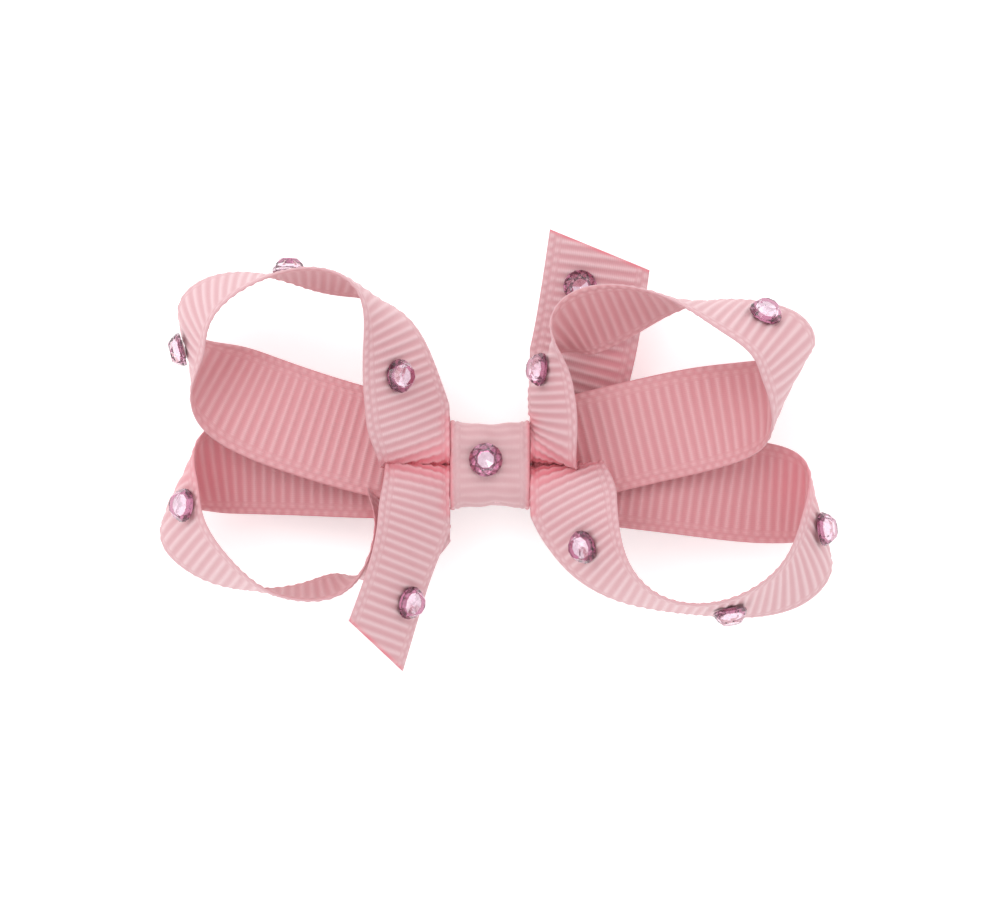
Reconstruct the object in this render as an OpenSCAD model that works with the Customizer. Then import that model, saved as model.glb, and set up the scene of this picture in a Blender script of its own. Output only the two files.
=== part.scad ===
// Small twisted hair bow of grosgrain ribbon with rhinestones, on a lined spring clip.
// Millimetres. The bow lies face up on its clip: +Z is the face, +X the wearer's right,
// +Y the top, and the origin is under the knot on the clip's flat underside.

/* [Ribbon] */
// Width of the grosgrain ribbon
ribbon_w = 10; // [8:0.25:12]
// Thickness of the ribbon
ribbon_t = 0.36; // [0.3:0.02:0.5]
// Overall size of the loops and tails, as a share of the stations below
bow_scale = 1; // [0.8:0.05:1.2]
// Share of the ribbon's width that is still open where it is drawn in beside the knot
root_open = 0.8; // [0.6:0.01:0.96]
// Distance over which the ribbon fans out to its full width
gather_l = 6; // [4:0.5:9]
// Slant of the tails' cut ends, in degrees from square
tail_cut = 15; // [0:1:35]

/* [Knot] */
// Width of the knot wrap along the bow
knot_w = 7.5; // [6:0.25:9]
// Depth of the gathered ribbon inside the knot, front to back
waist_h = 6; // [5:0.1:7.2]
// Height of the gathered ribbon inside the knot, top to bottom
waist_w = 7.4; // [6.8:0.1:8]
// Thickness of the binding thread
thread_d = 0.35; // [0.2:0.05:0.5]
// Number of turns of the binding thread
thread_turns = 5; // [3:1:8]
// Thickness of the hot-melt glue pad between the clip and the waist
glue_t = 0.6; // [0.3:0.1:1]

/* [Rhinestones] */
// Diameter of a rhinestone across its girdle
stone_d = 3.2; // [2.4:0.02:3.9]
// Height of a rhinestone from its flat back to its table
stone_h = 1.3; // [0.9:0.1:1.8]
// Share of the diameter taken by the flat table
stone_table = 0.5; // [0.35:0.05:0.7]
// Thickness of the adhesive film under a rhinestone
adhesive_t = 0.1; // [0.06:0.02:0.14]

/* [Clip] */
// Length of the clip from its nose to the end of its levers
clip_l = 43; // [36:1:52]
// Distance from the knot's centre to the clip's nose
nose_x = 21.5; // [19:0.5:24]
// Distance from the knot's centre to the hinge
hinge_x = 11; // [9:0.5:13.5]
// Height of the hinge above the clip's underside
hinge_z = 1.75; // [1.65:0.05:2]
// Radius of the ears round the hinge
ear_r = 1; // [0.95:0.05:1.2]
// Width of the lower jaw, which fits between the upper arm's ears
jaw_w = 5; // [4.4:0.1:5.6]
// Thickness of the sheet steel
steel_t = 0.6; // [0.4:0.02:0.72]
// Diameter of the hinge pin
pin_d = 1; // [0.8:0.05:1.2]
// Radial clearance of the upper arm's ears on the pin
pin_gap = 0.04; // [0.02:0.01:0.08]
// Pitch of the gripping teeth
tooth_pitch = 1.3; // [1:0.1:2]
// Number of gripping teeth on each flange
tooth_n = 7; // [4:1:9]
// Slope of the finger lever above the plane of the arm, in degrees
lever_slope = 4; // [3:1:8]
// Diameter of the spring's wire
wire_d = 0.35; // [0.25:0.05:0.35]
// Number of turns of the spring
spring_turns = 4; // [3:1:5]
// Thickness of the lining ribbon glued on the upper arm
lining_t = 0.34; // [0.25:0.02:0.45]

/* [Hidden] */
$fn = 48;
// Sides of a dot of adhesive
adhesive_fn = 24;

// Clearance between pieces that lie close but don't touch
gap = 0.1;
// Clearance between the two arms of the clip over the hinge
swing_gap = 0.05;
// Clearance between the lower jaw and the upper arm's ears on each side
side_gap = 0.15;
// Clearance between the ribbons' ends and the knot's side
root_gap = 0.14;
// Clearance of the adhesive over the ribbon, and of the stones over the adhesive
film_gap = 0.06;
stone_gap = 0.025;
// Clearance between neighbouring turns of the thread and of the spring
turn_gap = 0.05;
// Heights of the stack on the clip, from the table up
arm_z = hinge_z + ear_r + swing_gap;
arm_top = arm_z + steel_t;
lining_top = arm_top + lining_t;
waist_z = lining_top + glue_t;
waist_top = waist_z + waist_h;
wrap_top = waist_top + gap + ribbon_t;
// The clip's widths, worked out from the lower jaw
ear_in = jaw_w / 2 + side_gap;
ear_out = ear_in + steel_t;
arm_w = 2 * ear_out;
lever_x = hinge_x + ear_r;
clip_back = clip_l - nose_x;
// The ribbon stops at this distance from the knot's centre
root_x = knot_w / 2 + root_gap;

// The stations are laid out for a ribbon of this width that stops at this distance from the
// knot's centre, and they are held in place this far beyond it
station_w = 10;
station_root = 3.89;
root_hold = 3;

// Stations of each ribbon, from the knot outwards and back. A station is the place x, y, z of the
// ribbon's middle line, with z above the underside of the gathered waist, then how far the near
// edge lies from the far edge in x and y, as shares of the ribbon's width, and last how far the
// middle stands proud of the edges. The face says which side is out: 1 where travel x (far edge
// to near edge) points outwards, -1 where it points inwards.
UPPER_LEFT = ribbon(1, [
    [-7, 0.9, 2.5, -0.95, 0, 0.2],       // rolled up out of the knot
    [-7, 0.9, 4.7, -0.95, 0, 0.2],
    [-7.1, 1.3, 6.8, -0.93, 0, 0.4],
    [-7.6, 4, 7.9, -0.8, 0, 0.6],        // front strand
    [-8.5, 8, 8.7, -0.7, -0.1, 0.6],
    [-9.6, 12.4, 9.2, -0.5, -0.1, 0.7],
    [-12.3, 16, 9.3, -0.15, 0.15, 0.8],  // crown
    [-16.5, 17.4, 9.3, 0, 0.2, 0.3],
    [-21, 17.6, 9.2, 0, -0.05, 0.2],
    [-25.3, 16.4, 8.9, 0.1, -0.3, 0.2],
    [-28, 13.4, 7.7, 0.3, -0.4, 0.4],    // outer bend
    [-27.6, 9.6, 5.9, 0.1, -0.7, 0.5],
    [-24, 6.6, 4.6, -0.25, -0.92, 0.3],
    [-19, 4.5, 4, -0.3, -0.95, 0],       // back panel
    [-14, 2.9, 3.8, -0.28, -0.96, 0],
    [-9, 1.6, 3.8, -0.2, -0.98, 0],
    [-4, 0.6, 3.8, 0, -1, 0],
    [1, 0, 3.8, 0, -1, 0]
]);
UPPER_RIGHT = ribbon(-1, [
    [5.6, 1.1, 2.2, 0.95, 0, 0.2],       // rolled up out of the knot
    [5.6, 1.1, 4.3, 0.95, 0, 0.2],
    [5.8, 1.6, 6.3, 0.75, 0, 0.4],
    [6.1, 4, 7.2, 0.5, 0, 0.6],          // front strand
    [5.7, 8, 7.4, 0.4, 0.1, 0.6],
    [6.8, 12, 7.2, 0.05, 0.6, 0.5],      // crown
    [10.4, 13.9, 7.2, 0, 0.62, 0.2],
    [14.5, 15, 7.7, 0, 0.35, 0.2],
    [18.8, 15.2, 8.5, 0, -0.05, 0.2],
    [23, 14, 9.5, -0.2, -0.35, 0.2],
    [27, 12, 10, -0.5, -0.4, 0.2],       // outer bend
    [28.2, 8.4, 8.7, -0.45, -0.55, 0.5],
    [25.6, 5.8, 5.8, 0, -0.85, 0.6],
    [21.5, 4.7, 4.3, 0.15, -0.95, 0.2],
    [16.5, 3.6, 3.6, 0.2, -0.98, 0],     // back panel
    [10.5, 2.2, 3.3, 0.2, -0.98, 0],
    [4, 0.6, 3.3, 0, -1, 0],
    [-1, 0, 3.3, 0, -1, 0]
]);
LOWER_LEFT = ribbon(-1, [
    [-2, 1, 2, -0.86, 0.51, 0],
    [-6, -2.1, 2, -0.86, 0.51, 0],
    [-8, -5.2, 1.9, -0.86, 0.3, 0.1],    // front strand, behind the tail
    [-11, -8.6, 4.4, -0.3, 0.1, 0.6],
    [-14, -11, 5.2, 0, -0.22, 0.4],      // crown
    [-18, -12, 5.3, 0, -0.12, 0.2],
    [-22, -11.6, 5.5, 0.05, 0.05, 0.2],
    [-26, -9.6, 5.8, 0.2, 0.3, 0.2],
    [-29, -6.3, 5.6, 0.4, 0.35, 0.2],    // outer bend
    [-29, -2.7, 4, 0.35, 0.5, 0.9],
    [-26.2, -0.5, 2.4, 0, 0.85, 0.6],
    [-21.5, 0, 1.6, 0, 0.95, 0.1],
    [-16, 0, 1.3, 0, 0.98, 0],           // back panel
    [-10, -0.1, 1.3, 0, 1, 0],
    [-4, -0.1, 1.3, 0, 1, 0],
    [1, 0, 1.3, 0, 1, 0]
]);
LOWER_RIGHT = ribbon(1, [
    [7.3, -0.9, 2.2, 0.95, 0, 0.2],      // rolled up out of the knot
    [7.3, -0.9, 4.3, 0.95, 0, 0.2],
    [7.4, -1.3, 6.5, 0.93, 0.1, 0.4],
    [8.1, -3.9, 8.2, 0.8, 0.2, 0.6],     // front strand
    [9.6, -7.8, 9.3, 0.55, 0.3, 0.4],
    [12.2, -11, 9.7, 0.25, 0.25, 0.2],
    [16, -13, 9.8, 0.05, 0.12, 0],       // crown
    [20.5, -13.5, 9.7, 0, 0.12, 0],
    [25, -12.7, 9.2, -0.1, 0.28, 0],
    [29, -10.4, 8, -0.3, 0.4, 0.2],      // outer bend
    [31, -6.8, 6.2, -0.3, 0.55, 0.4],
    [29.6, -3.4, 3.6, -0.05, 0.82, 0.4],
    [25.5, -2.7, 2.1, 0.15, 0.95, 0.1],
    [20, -1.9, 1.8, 0.15, 0.98, 0],      // back panel
    [14.5, -1.2, 1.8, 0.12, 0.99, 0],
    [9, -0.6, 1.8, 0.1, 0.99, 0],
    [4, -0.2, 1.8, 0, 1, 0],
    [-1, 0, 1.8, 0, 1, 0]
]);
UPPER_TAIL = ribbon(1, [
    [2.5, -4, 0.6, -0.95, 0.3, 0],
    [5.8, 2, 0.6, -0.95, 0.3, 0],
    [8.3, 8.5, 1, -0.97, 0.25, 0],
    [9.6, 15, 1.9, -0.98, 0.18, 0],
    [10.6, 21.8, 2.9, -0.98, 0.15, 0],
    [11.5, 28, 3.9, -0.98, 0.15, 0]
]);
LOWER_TAIL = ribbon(-1, [
    [-6.8, -0.8, 2.5, -0.95, 0, 0.2],    // rolled up out of the knot
    [-6.8, -0.8, 4.7, -0.95, 0, 0.2],
    [-6.8, -1.1, 6.8, -0.93, 0.1, 0.4],
    [-6.9, -4, 7.9, -0.72, 0.2, 0.6],
    [-8, -8.4, 8.5, -0.56, 0.22, 0.3],
    [-9.4, -12.9, 8.9, -0.54, 0.24, 0.1],
    [-11.2, -18.3, 9.2, -0.58, 0.25, 0],
    [-12.9, -23, 9.5, -0.62, 0.25, 0]
]);

// Rhinestones: the ribbon that each is glued on, that ribbon's face, the stone's place along it
// counted in stations, and its place across it from the far edge (-1) to the near edge (1)
STONES = [
    [UPPER_LEFT, 1, 4.12, 0.2],
    [UPPER_LEFT, 1, 7.55, -0.3],
    [UPPER_LEFT, 1, 10.6, 0],
    [UPPER_RIGHT, -1, 4.2, 0],
    [UPPER_RIGHT, -1, 9.5, -0.3],
    [LOWER_LEFT, -1, 8.35, 0.6],
    [LOWER_RIGHT, 1, 3.92, 0],
    [LOWER_RIGHT, 1, 7.43, 0],
    [LOWER_RIGHT, 1, 10, 0.25],
    [UPPER_TAIL, 1, 3.27, 0.28],
    [LOWER_TAIL, -1, 4.87, -0.45]
];
// One more stone sits on the knot itself, at this x and y
knot_stone = [-0.4, 0.5];
stone_n = len(STONES) + 1;
// Rings along a loop and along a tail, and points across a ribbon
ribbon_rings = 44;
tail_rings = 16;
across_n = 5;

function stone_name(i) = str("rhinestone_", i < 9 ? "0" : "", i + 1);

// ---------------------------------------------------------------- the ribbon's surface

function unit(v) = v / norm(v);
function smooth(t) = t <= 0 ? 0 : t >= 1 ? 1 : t * t * (3 - 2 * t);

// Stations written out as rows: place, direction across the ribbon, cup. The across direction is
// turned so that travel x across is the outer face.
function rise_of(s) = sqrt(max(0, 1 - s[3] * s[3] - s[4] * s[4]));
function rows_of(face, stations) = [
    for (s = stations) [s[0], s[1], s[2], face * s[3], face * s[4], face * rise_of(s), s[5]]
];

// The rows that a smooth curve is drawn towards so that it passes through the stations
function drawn_past(rows) = [
    for (i = [0:len(rows) - 1])
        i == 0 || i == len(rows) - 1 ? rows[i]
            : rows[i] + (2 * rows[i] - rows[i - 1] - rows[i + 1]) / 6
];
function ribbon(face, stations) = drawn_past(rows_of(face, stations));

// The smooth curve through a ribbon's rows, its value and its slope, at u from 0 to 1
function span_of(rows, u) = min(floor(u * (len(rows) - 3)), len(rows) - 4);
function curve_at(rows, u) =
    let (i = span_of(rows, u), f = u * (len(rows) - 3) - i)
    (rows[i] * pow(1 - f, 3)
        + rows[i + 1] * (3 * pow(f, 3) - 6 * f * f + 4)
        + rows[i + 2] * (-3 * pow(f, 3) + 3 * f * f + 3 * f + 1)
        + rows[i + 3] * pow(f, 3)) / 6;
function slope_at(rows, u) =
    let (i = span_of(rows, u), f = u * (len(rows) - 3) - i)
    -rows[i] * pow(1 - f, 2)
        + rows[i + 1] * (3 * f * f - 4 * f)
        + rows[i + 2] * (-3 * f * f + 2 * f + 1)
        + rows[i + 3] * f * f;

function place(row) = [row[0], row[1], row[2]];
function across(row) = [row[3], row[4], row[5]];

// The rows in real size. They grow with the ribbon's width and with the bow, and move out with
// the knot's side, but stay at the knot there.
function sized(rows) =
    let (wide = ribbon_w / station_w, side = sign(rows[floor(len(rows) / 2)][0]))
    [
        for (row = rows)
            let (out = norm([row[0], row[1]]) - station_root - root_hold)
            let (far = smooth(out / gather_l))
            let (kx = 1 + (bow_scale * wide - 1) * far, ky = wide * (1 + (bow_scale - 1) * far))
            [
                row[0] * kx + side * (root_x - station_root), row[1] * ky,
                row[2] * wide + waist_z, row[3], row[4], row[5], row[6] * wide
            ]
    ];

// Share of the width that is open at a place: less beside the knot
function open_share(p) =
    root_open + (1 - root_open) * smooth((norm([p[0], p[1]]) - root_x) / gather_l);

// Frame of the ribbon at u: [place, travel, across, outer face, half width, cup]
function frame_at(rows, u) =
    let (row = curve_at(rows, u), t = unit(place(slope_at(rows, u))))
    let (a = across(row), a2 = unit(a - t * (a * t)))
    let (cup = row[6], half = (ribbon_w * open_share(place(row)) - 8 / 3 * cup * cup / ribbon_w) / 2)
    [place(row), t, a2, cross(t, a2), half, cup];

// Point of the ribbon at v across (-1 to 1), standing off its middle sheet by h
function sheet_point(fr, v, h) =
    let (slope = unit(fr[2] * fr[4] - fr[3] * 2 * fr[5] * v))
    fr[0] + fr[2] * fr[4] * v + fr[3] * fr[5] * (1 - v * v) + cross(fr[1], slope) * h;

// How far across the ribbon reaches before the knot's edge hides it, on one side (-1 or 1),
// with room for its own bulge and thickness
function reach(fr, side) =
    let (out = sign(fr[0][0]), toward = -out * fr[2][0] * side * fr[4])
    let (room = abs(fr[0][0]) - root_x, v = max(0, min(1, room / max(toward, 0.01))))
    let (bulge = max(0, -out * fr[3][0] * fr[5] * (1 - v * v)) + abs(fr[3][0]) * ribbon_t / 2)
    toward > 0.2 ? side * max(0.1, min(1, (room - bulge) / toward)) : side;

// One ring round the ribbon's section: along the outer face, then back along the inner face
function ring(rows, u, v0, v1) =
    let (fr = frame_at(rows, u), a = max(v0, reach(fr, -1)), b = min(v1, reach(fr, 1)))
    concat(
        [for (k = [0:across_n - 1]) sheet_point(fr, a + (b - a) * k / (across_n - 1), ribbon_t / 2)],
        [for (k = [across_n - 1:-1:0]) sheet_point(fr, a + (b - a) * k / (across_n - 1), -ribbon_t / 2)]
    );

// A closed skin over a list of rings
module skin(rings) {
    n = len(rings[0]);
    last = len(rings) - 1;
    sides = [
        for (i = [0:last - 1]) for (k = [0:n - 1])
            let (p = i * n + k, q = i * n + (k + 1) % n)
            each [[p, p + n, q], [q, p + n, q + n]]
    ];
    // each cap is a strip of quads between the outer and the inner face
    caps = [
        for (k = [0:n / 2 - 2])
            let (p = k, q = k + 1, r = n - 2 - k, s = n - 1 - k, e = last * n)
            each [[p, q, s], [q, r, s], [p + e, s + e, q + e], [q + e, s + e, r + e]]
    ];
    polyhedron(points = [for (r = rings) each r], faces = concat(sides, caps));
}

module loop(drawn) {
    rows = sized(drawn);
    skin([for (i = [0:ribbon_rings]) ring(rows, i / ribbon_rings, -1, 1)]);
}

// A tail: its rings lean over towards the slanted cut, whose longer edge is at v = 1
module tail(drawn) {
    rows = sized(drawn);
    length = norm(place(curve_at(rows, 1)) - place(curve_at(rows, 0.5))) * 2;
    cut = ribbon_w / 2 * tan(tail_cut) / length;
    rings = [
        for (i = [0:tail_rings])
            let (u = i / tail_rings, fr0 = frame_at(rows, u * (1 - cut)))
            let (a = reach(fr0, -1), b = reach(fr0, 1))
            let (outer = [
                for (k = [0:across_n - 1])
                    let (v = a + (b - a) * k / (across_n - 1))
                    [u * (1 - cut) + u * u * u * cut * v, v]
            ])
            concat(
                [for (p = outer) sheet_point(frame_at(rows, p[0]), p[1], ribbon_t / 2)],
                [for (k = [across_n - 1:-1:0])
                    sheet_point(frame_at(rows, outer[k][0]), outer[k][1], -ribbon_t / 2)]
            )
    ];
    skin(rings);
}

// ---------------------------------------------------------------- helpers for the clip and knot

// A flat plate standing in the XZ plane, t thick in +Y from y
module upright(y, t) {
    translate([0, y + t, 0]) rotate([90, 0, 0]) linear_extrude(t) children();
}

// A bar with rounded corners from x0 to x1, w wide, lying flat
module bar(x0, x1, w, r, t) {
    linear_extrude(t) {
        translate([x0 + r, -w / 2]) square([x1 - x0 - 2 * r, w]);
        translate([x0, r - w / 2]) square([x1 - x0, w - 2 * r]);
        for (x = [x0 + r, x1 - r]) for (y = [r - w / 2, w / 2 - r])
            translate([x, y]) circle(r);
    }
}

// Section across the knot: half wide from z0 to z1, with its own radius above and below
module section(half, z0, z1, r_top, r_low) {
    translate([r_low - half, z0]) square([2 * (half - r_low), z1 - r_top - z0]);
    translate([r_top - half, z1 - r_top - r_low]) square([2 * (half - r_top), r_top + r_low]);
    translate([-half, z0 + r_low]) square([2 * half, z1 - r_top - z0 - r_low]);
    for (y = [-1, 1]) {
        translate([y * (half - r_top), z1 - r_top]) circle(r_top);
        translate([y * (half - r_low), z0 + r_low]) circle(r_low);
    }
}

// Runs a section along X for a length, centred on x
module along_x(x, length) {
    translate([x - length / 2, 0, 0]) rotate([90, 0, 90]) linear_extrude(length) children();
}

// Radius of the gathered waist's corners, and of the wrap's lower corners inside
knot_round = 1.6;
foot_round = 0.3;
module waist_section(shrink) {
    section(waist_w / 2 - shrink, waist_z + shrink, waist_top - shrink, knot_round, knot_round);
}
thread_pitch = thread_d + turn_gap;
thread_l = thread_turns * thread_pitch;

// ---------------------------------------------------------------- the knot

module gathered_waist() {
    color("palevioletred") difference() {
        along_x(0, knot_w) waist_section(0);
        difference() {
            along_x(0, thread_l) waist_section(-1);
            along_x(0, thread_l + 1) waist_section(thread_d);
        }
    }
}

module binding_thread() {
    color("mistyrose") for (i = [0:thread_turns - 1])
        translate([(i - (thread_turns - 1) / 2) * thread_pitch, 0, 0]) difference() {
            along_x(0, thread_d) waist_section(0);
            along_x(0, thread_d + 1) waist_section(thread_d);
        }
}

// The glue stops short of the knot's sides and of the arm's edges
glue_margin = 0.5;
glue_round = 1;
glue_l = knot_w - 2 * glue_margin;
glue_w = arm_w - 2 * glue_margin;
module glue_pad() {
    color("ivory") translate([0, 0, lining_top])
        bar(-glue_l / 2, glue_l / 2, glue_w, glue_round, glue_t);
}

module knot_wrap() {
    half = waist_w / 2 + gap;
    color("lightpink") difference() {
        along_x(0, knot_w)
            section(
                half + ribbon_t, arm_z - ribbon_t, wrap_top,
                knot_round + ribbon_t, foot_round + ribbon_t
            );
        along_x(0, knot_w + 1) section(half, arm_z, wrap_top - ribbon_t, knot_round, foot_round);
    }
}

// ---------------------------------------------------------------- the rhinestones

// Height of the upright band round a stone
girdle_h = 0.3;
// Diameter of a dot of adhesive, as a share of its stone's
film_share = 0.55;
// Heights of the adhesive and of the stones above a ribbon's middle sheet
film_lift = ribbon_t / 2 + film_gap;
stone_lift = film_lift + adhesive_t + stone_gap;

module seat(i, lift) {
    if (i == stone_n - 1) {
        translate([knot_stone[0], knot_stone[1], wrap_top + lift - ribbon_t / 2]) children();
    } else {
        rows = sized(STONES[i][0]);
        fr = frame_at(rows, (STONES[i][2] - 1) / (len(rows) - 3));
        v = STONES[i][1] * STONES[i][3];
        p = sheet_point(fr, v, lift);
        n = unit(p - sheet_point(fr, v, 0));
        translate(p) rotate([0, acos(n[2]), atan2(n[1], n[0])]) children();
    }
}

module rhinestone(i) {
    color("plum") seat(i, stone_lift) {
        cylinder(h = girdle_h, d = stone_d);
        translate([0, 0, girdle_h])
            cylinder(h = stone_h - girdle_h, d1 = stone_d, d2 = stone_d * stone_table);
    }
}

module stone_adhesive() {
    color("whitesmoke") for (i = [0:stone_n - 1]) seat(i, film_lift)
        cylinder(h = adhesive_t, d = stone_d * film_share, $fn = adhesive_fn);
}

// ---------------------------------------------------------------- the clip

module ear_outline() {
    translate([hinge_x, hinge_z]) circle(ear_r);
    translate([hinge_x - ear_r, hinge_z]) square([2 * ear_r, arm_z + steel_t / 2 - hinge_z]);
}

module pin_hole(clearance) {
    translate([hinge_x, 0, hinge_z]) rotate([90, 0, 0])
        cylinder(h = 2 * arm_w, r = pin_d / 2 + clearance, center = true);
}

// Corner radius of the nose and of the finger levers
nose_round = 1.6;
lever_round = 1.2;
// Overlap of the arm's plate and its lever at the bend
lever_lap = 0.2;
module clip_upper_arm() {
    color("silver") difference() {
        union() {
            translate([0, 0, arm_z]) bar(-nose_x, lever_x + lever_lap, arm_w, nose_round, steel_t);
            translate([hinge_x - ear_r, -arm_w / 2, arm_z]) cube([2 * ear_r, arm_w, steel_t]);
            translate([lever_x, 0, arm_z]) rotate([0, -lever_slope, 0]) {
                bar(-lever_lap, clip_back - lever_x, arm_w, lever_round, steel_t);
                translate([-lever_lap, -arm_w / 2, 0]) cube([2 * lever_round, arm_w, steel_t]);
            }
            upright(ear_in, steel_t) ear_outline();
            upright(-ear_out, steel_t) ear_outline();
        }
        pin_hole(pin_gap);
    }
}

// How far the lining stops short of the nose, of the lever and of each side of the arm
lining_inset = 0.3;
lining_back = 0.8;
lining_margin = 0.2;
module clip_lining() {
    color("lightpink") translate([0, 0, arm_top]) bar(
        lining_inset - nose_x, lever_x - lining_back, arm_w - 2 * lining_margin,
        nose_round, lining_t
    );
}

// The lower jaw's flange: teeth at the nose, a low rail past the knot, and the hinge ear
tooth_h = 0.6;
// Where each tooth peaks, as a share of its pitch
tooth_lean = 0.6;
// How far the flange starts behind the nose, and how far it slopes down behind the teeth
flange_inset = 0.6;
flange_slope = 2;
rail_h = 0.5;
module flange_outline() {
    tip = arm_z - gap;
    end = tooth_n * tooth_pitch;
    rail_end = nose_x - flange_inset + hinge_x;
    translate([flange_inset - nose_x, 0]) polygon(concat(
        [[0, steel_t / 2], [0, tip - tooth_h]],
        [for (i = [0:tooth_n - 1]) each [
            [(i + tooth_lean) * tooth_pitch, tip],
            [(i + 1) * tooth_pitch, tip - tooth_h]
        ]],
        [[end + flange_slope, steel_t + rail_h], [rail_end, steel_t + rail_h],
         [rail_end, steel_t / 2]]
    ));
    translate([hinge_x, hinge_z]) circle(ear_r);
    translate([hinge_x - ear_r, steel_t / 2]) square([2 * ear_r, hinge_z - steel_t / 2]);
}

module clip_lower_jaw() {
    color("silver") difference() {
        union() {
            bar(-nose_x, clip_back, jaw_w, lever_round, steel_t);
            upright(jaw_w / 2 - steel_t, steel_t) flange_outline();
            upright(-jaw_w / 2, steel_t) flange_outline();
        }
        pin_hole(0);
    }
}

// Radius and thickness of the pin's riveted heads
pin_head_r = 0.8;
pin_head_t = 0.25;
module clip_hinge_pin() {
    color("gainsboro") translate([hinge_x, 0, hinge_z]) rotate([90, 0, 0]) {
        cylinder(h = 2 * (ear_out + swing_gap), d = pin_d, center = true);
        for (s = [-1, 1]) translate([0, 0, s * (ear_out + swing_gap + pin_head_t / 2)])
            cylinder(h = pin_head_t, r = pin_head_r, center = true);
    }
}

// Spring: a lower leg on the jaw, a coil round the pin, and an upper leg under the lever
// Clearance of the coil round the pin
coil_gap = 0.08;
// Clearance of the spring's legs from the steel that they press on
leg_gap = 0.025;
// How far the legs stop short of the levers' ends, and where the upper one bends
leg_inset = 3;
leg_bend = 0.4;
coil_r = pin_d / 2 + coil_gap + wire_d / 2;
coil_pitch = wire_d + turn_gap;
turn_steps = 16;
wire_sides = 8;
leg_l = clip_back - hinge_x - leg_inset;
function coil_point(a) = [
    hinge_x - coil_r * sin(a),
    (a / 360 - (spring_turns + 0.5) / 2) * coil_pitch,
    hinge_z - coil_r * cos(a)
];
function wire_ring(p, d) =
    let (side = unit(cross(d, [0.1, 1, 0.2])), up = cross(d, side))
    [for (k = [0:wire_sides - 1])
        let (a = 360 * k / wire_sides)
        p + (side * cos(a) + up * sin(a)) * wire_d / 2];

// A closed tube over a list of rings, with a fan at each end
module tube(rings) {
    n = len(rings[0]);
    last = len(rings) - 1;
    sides = [
        for (i = [0:last - 1]) for (k = [0:n - 1])
            let (p = i * n + k, q = i * n + (k + 1) % n)
            each [[p, p + n, q], [q, p + n, q + n]]
    ];
    ends = [for (k = [1:n - 2]) each [[0, k, k + 1], [last * n, last * n + k + 1, last * n + k]]];
    polyhedron(points = [for (r = rings) each r], faces = concat(sides, ends));
}

module clip_spring() {
    steps = (spring_turns + 0.5) * turn_steps;
    low = [hinge_x + leg_l, coil_point(0)[1], steel_t + wire_d / 2 + leg_gap];
    path = concat([low], [for (i = [0:steps]) coil_point(i * 360 / turn_steps)]);
    last = len(path) - 1;
    color("dimgray") tube([
        for (i = [0:last])
            wire_ring(path[i], unit(path[min(last, i + 1)] - path[max(0, i - 1)]))
    ]);
}

module clip_spring_leg() {
    top = coil_point((spring_turns + 0.5) * 360) + [turn_gap, 0, 0];
    under = arm_z + (hinge_x + leg_l - lever_x) * tan(lever_slope) - wire_d / 2 - 2 * leg_gap;
    end = [hinge_x + leg_l, top[1], under];
    knee = [lever_x + leg_bend, top[1], top[2]];
    color("dimgray") tube([
        wire_ring(top, [1, 0, 0]),
        wire_ring(knee, unit(unit(knee - top) + unit(end - knee))),
        wire_ring(end, unit(end - knee))
    ]);
}

// ---------------------------------------------------------------- the ribbon pieces

module upper_left_loop() { color("lightpink") loop(UPPER_LEFT); }
module upper_right_loop() { color("lightpink") loop(UPPER_RIGHT); }
module lower_left_loop() { color("pink") loop(LOWER_LEFT); }
module lower_right_loop() { color("pink") loop(LOWER_RIGHT); }
module upper_tail() { color("lightpink") tail(UPPER_TAIL); }
module lower_tail() { color("lightpink") tail(LOWER_TAIL); }

upper_left_loop();
upper_right_loop();
lower_left_loop();
lower_right_loop();
upper_tail();
lower_tail();
gathered_waist();
binding_thread();
glue_pad();
knot_wrap();
stone_adhesive();
clip_lining();
clip_upper_arm();
clip_lower_jaw();
clip_hinge_pin();
clip_spring();
clip_spring_leg();
for (i = [0:stone_n - 1])
    rhinestone(i);
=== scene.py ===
"""Hair bow of twisted grosgrain ribbon loops and tails, set with crystals, on a lined spring clip.

Lengths named _mm are millimetres and are turned into metres where a mesh is made. The bow lies face
up on its clip: +X runs along the bow, +Y up it, and +Z out of its face.
"""

import logging
import math
from dataclasses import dataclass, field
from enum import Enum
from typing import Sequence

import bmesh
import bpy
import numpy as np
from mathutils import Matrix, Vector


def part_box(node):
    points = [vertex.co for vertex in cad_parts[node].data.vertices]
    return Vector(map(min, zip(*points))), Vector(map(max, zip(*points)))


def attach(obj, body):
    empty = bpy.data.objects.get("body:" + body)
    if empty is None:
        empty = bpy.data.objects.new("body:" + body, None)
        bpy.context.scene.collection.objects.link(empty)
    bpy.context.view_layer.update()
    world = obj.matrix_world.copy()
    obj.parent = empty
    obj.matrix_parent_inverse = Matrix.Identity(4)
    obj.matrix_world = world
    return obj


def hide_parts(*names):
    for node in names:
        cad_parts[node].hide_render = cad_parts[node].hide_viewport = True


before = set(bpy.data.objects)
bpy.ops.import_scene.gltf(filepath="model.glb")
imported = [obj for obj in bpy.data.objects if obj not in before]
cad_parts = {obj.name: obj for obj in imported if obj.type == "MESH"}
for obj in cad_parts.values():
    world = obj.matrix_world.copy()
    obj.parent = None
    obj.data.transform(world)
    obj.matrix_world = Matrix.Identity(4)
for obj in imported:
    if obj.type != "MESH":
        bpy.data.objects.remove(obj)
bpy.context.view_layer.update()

log = logging.getLogger("hair_bow")
MM = 0.001
UV_MM = 10.0
RIB_SHARPNESS = 1.5
BEAD_ROWS_END = 1.98
SMUDGE_SCALE = 260.0

Colour = tuple[float, float, float]
Material = bpy.types.Material
Node = bpy.types.Node
Object = bpy.types.Object
Socket = bpy.types.NodeSocket


class Face(Enum):
    """Which side of a ribbon is its outer face, seen along its travel."""

    OUTWARD = 1
    INWARD = -1


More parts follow.
